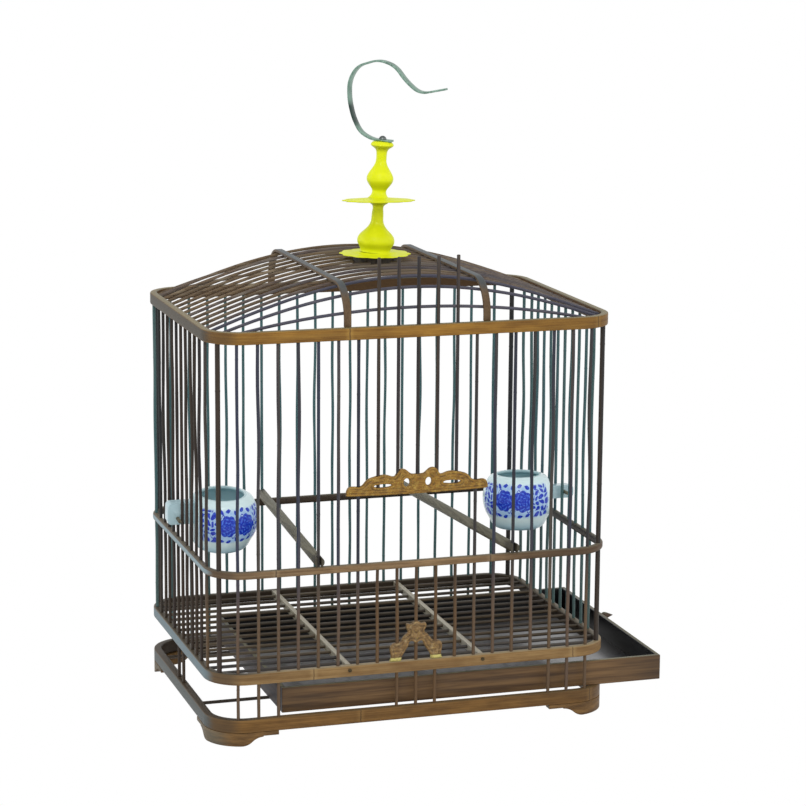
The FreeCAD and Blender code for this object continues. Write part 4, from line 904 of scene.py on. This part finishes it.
def makeCarving(name, node, finish, foot, grooves):
    source = mergedCopy(node)
    low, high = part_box(node)
    middle = (low.y + high.y) / 2
    half = (high.y - low.y) / 2
    tree = outlineTree(source, low.y)
    data = bpy.data.meshes.new(name + "_blank")
    source.to_mesh(data)
    source.free()
    blank = bpy.data.objects.new(name + "_blank", data)
    bpy.context.scene.collection.objects.link(blank)
    remesh = blank.modifiers.new("fine", "REMESH")
    remesh.mode = "VOXEL"
    remesh.voxel_size = carving["voxel"]
    bpy.context.view_layer.update()
    fine = blank.evaluated_get(bpy.context.evaluated_depsgraph_get()).to_mesh()
    mesh = bmesh.new()
    mesh.from_mesh(fine)
    deep = mesh.verts.layers.float.new("carved")
    bpy.data.objects.remove(blank)
    bpy.data.meshes.remove(data)
    smoothMesh(mesh, 0.5)
    for vert in mesh.verts:
        x, y, z = vert.co
        edge = tree.find((x, 0, z))[2]
        inner = 1 - min(edge / carving["round"], 1)
        pillow = carving["edgeShare"] + (1 - carving["edgeShare"]) * math.sqrt(max(0, 1 - inner * inner))
        fromBar = abs((x + carving["barPitch"] / 2) % carving["barPitch"] - carving["barPitch"] / 2)
        kept = carving["barShare"] * (1 - smoothShare(fromBar, carving["barRoom"] * 0.7, carving["barRoom"]))
        share = max(pillow, kept)
        outward = min(max((y - middle) / half, -1), 1)
        lump = noise.noise(Vector((x * carving["lumps"], foot * 90, z * carving["lumps"] * 1.3)))
        cutIn = grooves(x, z - foot, edge) * (0.45 + 0.55 * smoothShare(lump, -0.35, 0.15))
        groove = max(cutIn, 0.6 * smoothShare(lump, 0.05, 0.5)) * smoothShare(abs(outward), 0.55, 0.9)
        vert.co.y = middle + outward * (half * share - groove * carving["grooveDepth"])
        # painted shade: darker in the grooves and towards the outline
        vert[deep] = min(1, groove + 0.45 * inner ** 3)
    smoothMesh(mesh, 0.35)
    smoothMesh(mesh, 0.35)
    addPiece(name, mesh, finish, [node], 70)


makeCarving("door_rail_carving", "door_rail", "carved_rail_wood", railCut["foot"], railGrooves)
makeCarving("ornament_carving", "floor_ornament", "carved_ornament_wood", ornamentCut["foot"],
            ornamentGrooves)
print("carvings")


# Cups: the frame's bowl with a rounded lip, and a map that runs round it for the painting

cup = {"radius": 33.5 * mm, "lip": 0.55 * mm, "level": 146.5 * mm, "flat": 26 * mm, "pivot": 31.5 * mm,
       "lugMap": 0.09, "insideMap": 0.2,
       "left": {"side": -1, "place": -144.5 * mm, "tilt": 6.5, "turn": 77},
       "right": {"side": 1, "place": 142.4 * mm, "tilt": -2.3, "turn": 117}}


def makeCup(name):
    own = cup[name]
    mesh = mergedCopy(f"cup_{name}")
    easeEdges(mesh, cup["lip"], 3, 50)
    bmesh.ops.recalc_face_normals(mesh, faces=mesh.faces)
    pivot = Vector((own["place"], 0, cup["level"] + cup["pivot"]))
    upright = Matrix.Rotation(-math.radians(own["tilt"]), 3, "X")
    front = math.radians(own["turn"])
    grain = mesh.loops.layers.uv.new("grain")
    for face in mesh.faces:
        middle = upright @ (face.calc_center_median() - pivot)
        normal = upright @ face.normal
        outside = middle.x * normal.x + middle.y * normal.y > 0 or middle.z < -cup["pivot"] + mm
        lug = middle.x * own["side"] > cup["flat"] + 0.3 * mm
        plain = cup["lugMap"] if lug else 0 if outside else cup["insideMap"]
        places = []
        for loop in face.loops:
            local = upright @ (loop.vert.co - pivot)
            angle = (math.atan2(local.y, local.x) + front + math.pi) % (2 * math.pi) - math.pi
            places.append([angle * cup["radius"], local.z + cup["pivot"] + plain])
        span = max(place[0] for place in places)
        for loop, place in zip(face.loops, places):
            if span - place[0] > math.pi * cup["radius"]:
                place[0] += 2 * math.pi * cup["radius"]
            loop[grain].uv = place
    addPiece(f"porcelain_cup_{name}", mesh, "blue_white_porcelain", [f"cup_{name}"], 50)


for side in sides:
    makeCup(side)
print("cups")


# Camera, floor and light

view = {"place": (-0.6982, -2.2791, 0.7517), "turn": 17.67, "down": 11.36, "roll": 0.42, "lens": 118.07}


def makeCamera():
    turn = math.radians(view["turn"])
    down = math.radians(view["down"])
    roll = math.radians(view["roll"])
    ahead = Vector((math.sin(turn) * math.cos(down), math.cos(turn) * math.cos(down), -math.sin(down)))
    right = Vector((math.cos(turn), -math.sin(turn), 0))
    above = right.cross(ahead)
    across = right * math.cos(roll) + above * math.sin(roll)
    upward = above * math.cos(roll) - right * math.sin(roll)
    data = bpy.data.cameras.new("camera")
    data.sensor_width = 36
    data.lens = view["lens"]
    camera = bpy.data.objects.new("camera", data)
    bpy.context.scene.collection.objects.link(camera)
    axes = Matrix((across, upward, -ahead)).transposed().to_4x4()
    camera.matrix_world = Matrix.Translation(view["place"]) @ axes
    bpy.context.scene.camera = camera


def whiteForEyes(finish, lit, output, kind):
    # pure white to the camera, to gloss and through glass; its own shader for the light it gives
    rays = finish.node("LightPath").socket.node.outputs
    seen = highest(Wire(finish, rays[f"Is {ray} Ray"]) for ray in ("Camera", "Glossy", "Transmission"))
    white = finish.node(kind, None, {"Color": (1, 1, 1, 1), "Strength": 1})
    mixed = finish.node("MixShader", None, {0: seen, 1: Wire(finish, lit.outputs[0]), 2: white})
    finish.join(mixed, finish.tree.nodes[output].inputs["Surface"])


studio = {"worldLight": 0.7, "floorSize": 12, "aim": (0, 0, 0.25),
          "floor": {"Base Color": (0.9, 0.9, 0.9, 1), "Roughness": 0.9, "Specular IOR Level": 0.1},
          "lamps": [("key", (-0.9, -2.4, 2.4), 1.8, 32, (1.0, 0.985, 0.96)),
                    ("fill", (2.2, -1.6, 1.5), 1.8, 10, (1.0, 0.99, 0.97)),
                    ("coolSide", (-2.6, 1.4, 1.1), 1.8, 12, (0.80, 0.92, 1.0))]}


def makeStudio():
    world = bpy.data.worlds.new("studio")
    bpy.context.scene.world = world
    sky = Finish(world)
    back = sky.tree.nodes["Background"]
    back.inputs["Color"].default_value = (1, 1, 1, 1)
    back.inputs["Strength"].default_value = studio["worldLight"]
    whiteForEyes(sky, back, "World Output", "Background")
    mesh = bmesh.new()
    bmesh.ops.create_grid(mesh, x_segments=1, y_segments=1, size=studio["floorSize"] / 2)
    data = bpy.data.meshes.new("floor")
    mesh.to_mesh(data)
    mesh.free()
    floor = bpy.data.objects.new("floor", data)
    bpy.context.scene.collection.objects.link(floor)
    ground = Finish("floor_white")
    data.materials.append(ground.owner)
    matt = ground.tree.nodes["Principled BSDF"]
    for key, value in studio["floor"].items():
        matt.inputs[key].default_value = value
    whiteForEyes(ground, matt, "Material Output", "Emission")
    for name, place, size, power, color in studio["lamps"]:
        lamp = bpy.data.lights.new(name, "AREA")
        lamp.size = size
        lamp.energy = power
        lamp.color = color
        holder = bpy.data.objects.new(name, lamp)
        bpy.context.scene.collection.objects.link(holder)
        turned = (Vector(studio["aim"]) - Vector(place)).to_track_quat("-Z", "Y").to_matrix().to_4x4()
        holder.matrix_world = Matrix.Translation(place) @ turned


makeCamera()
makeStudio()
bpy.context.scene.view_settings.view_transform = "Standard"
print("studio")
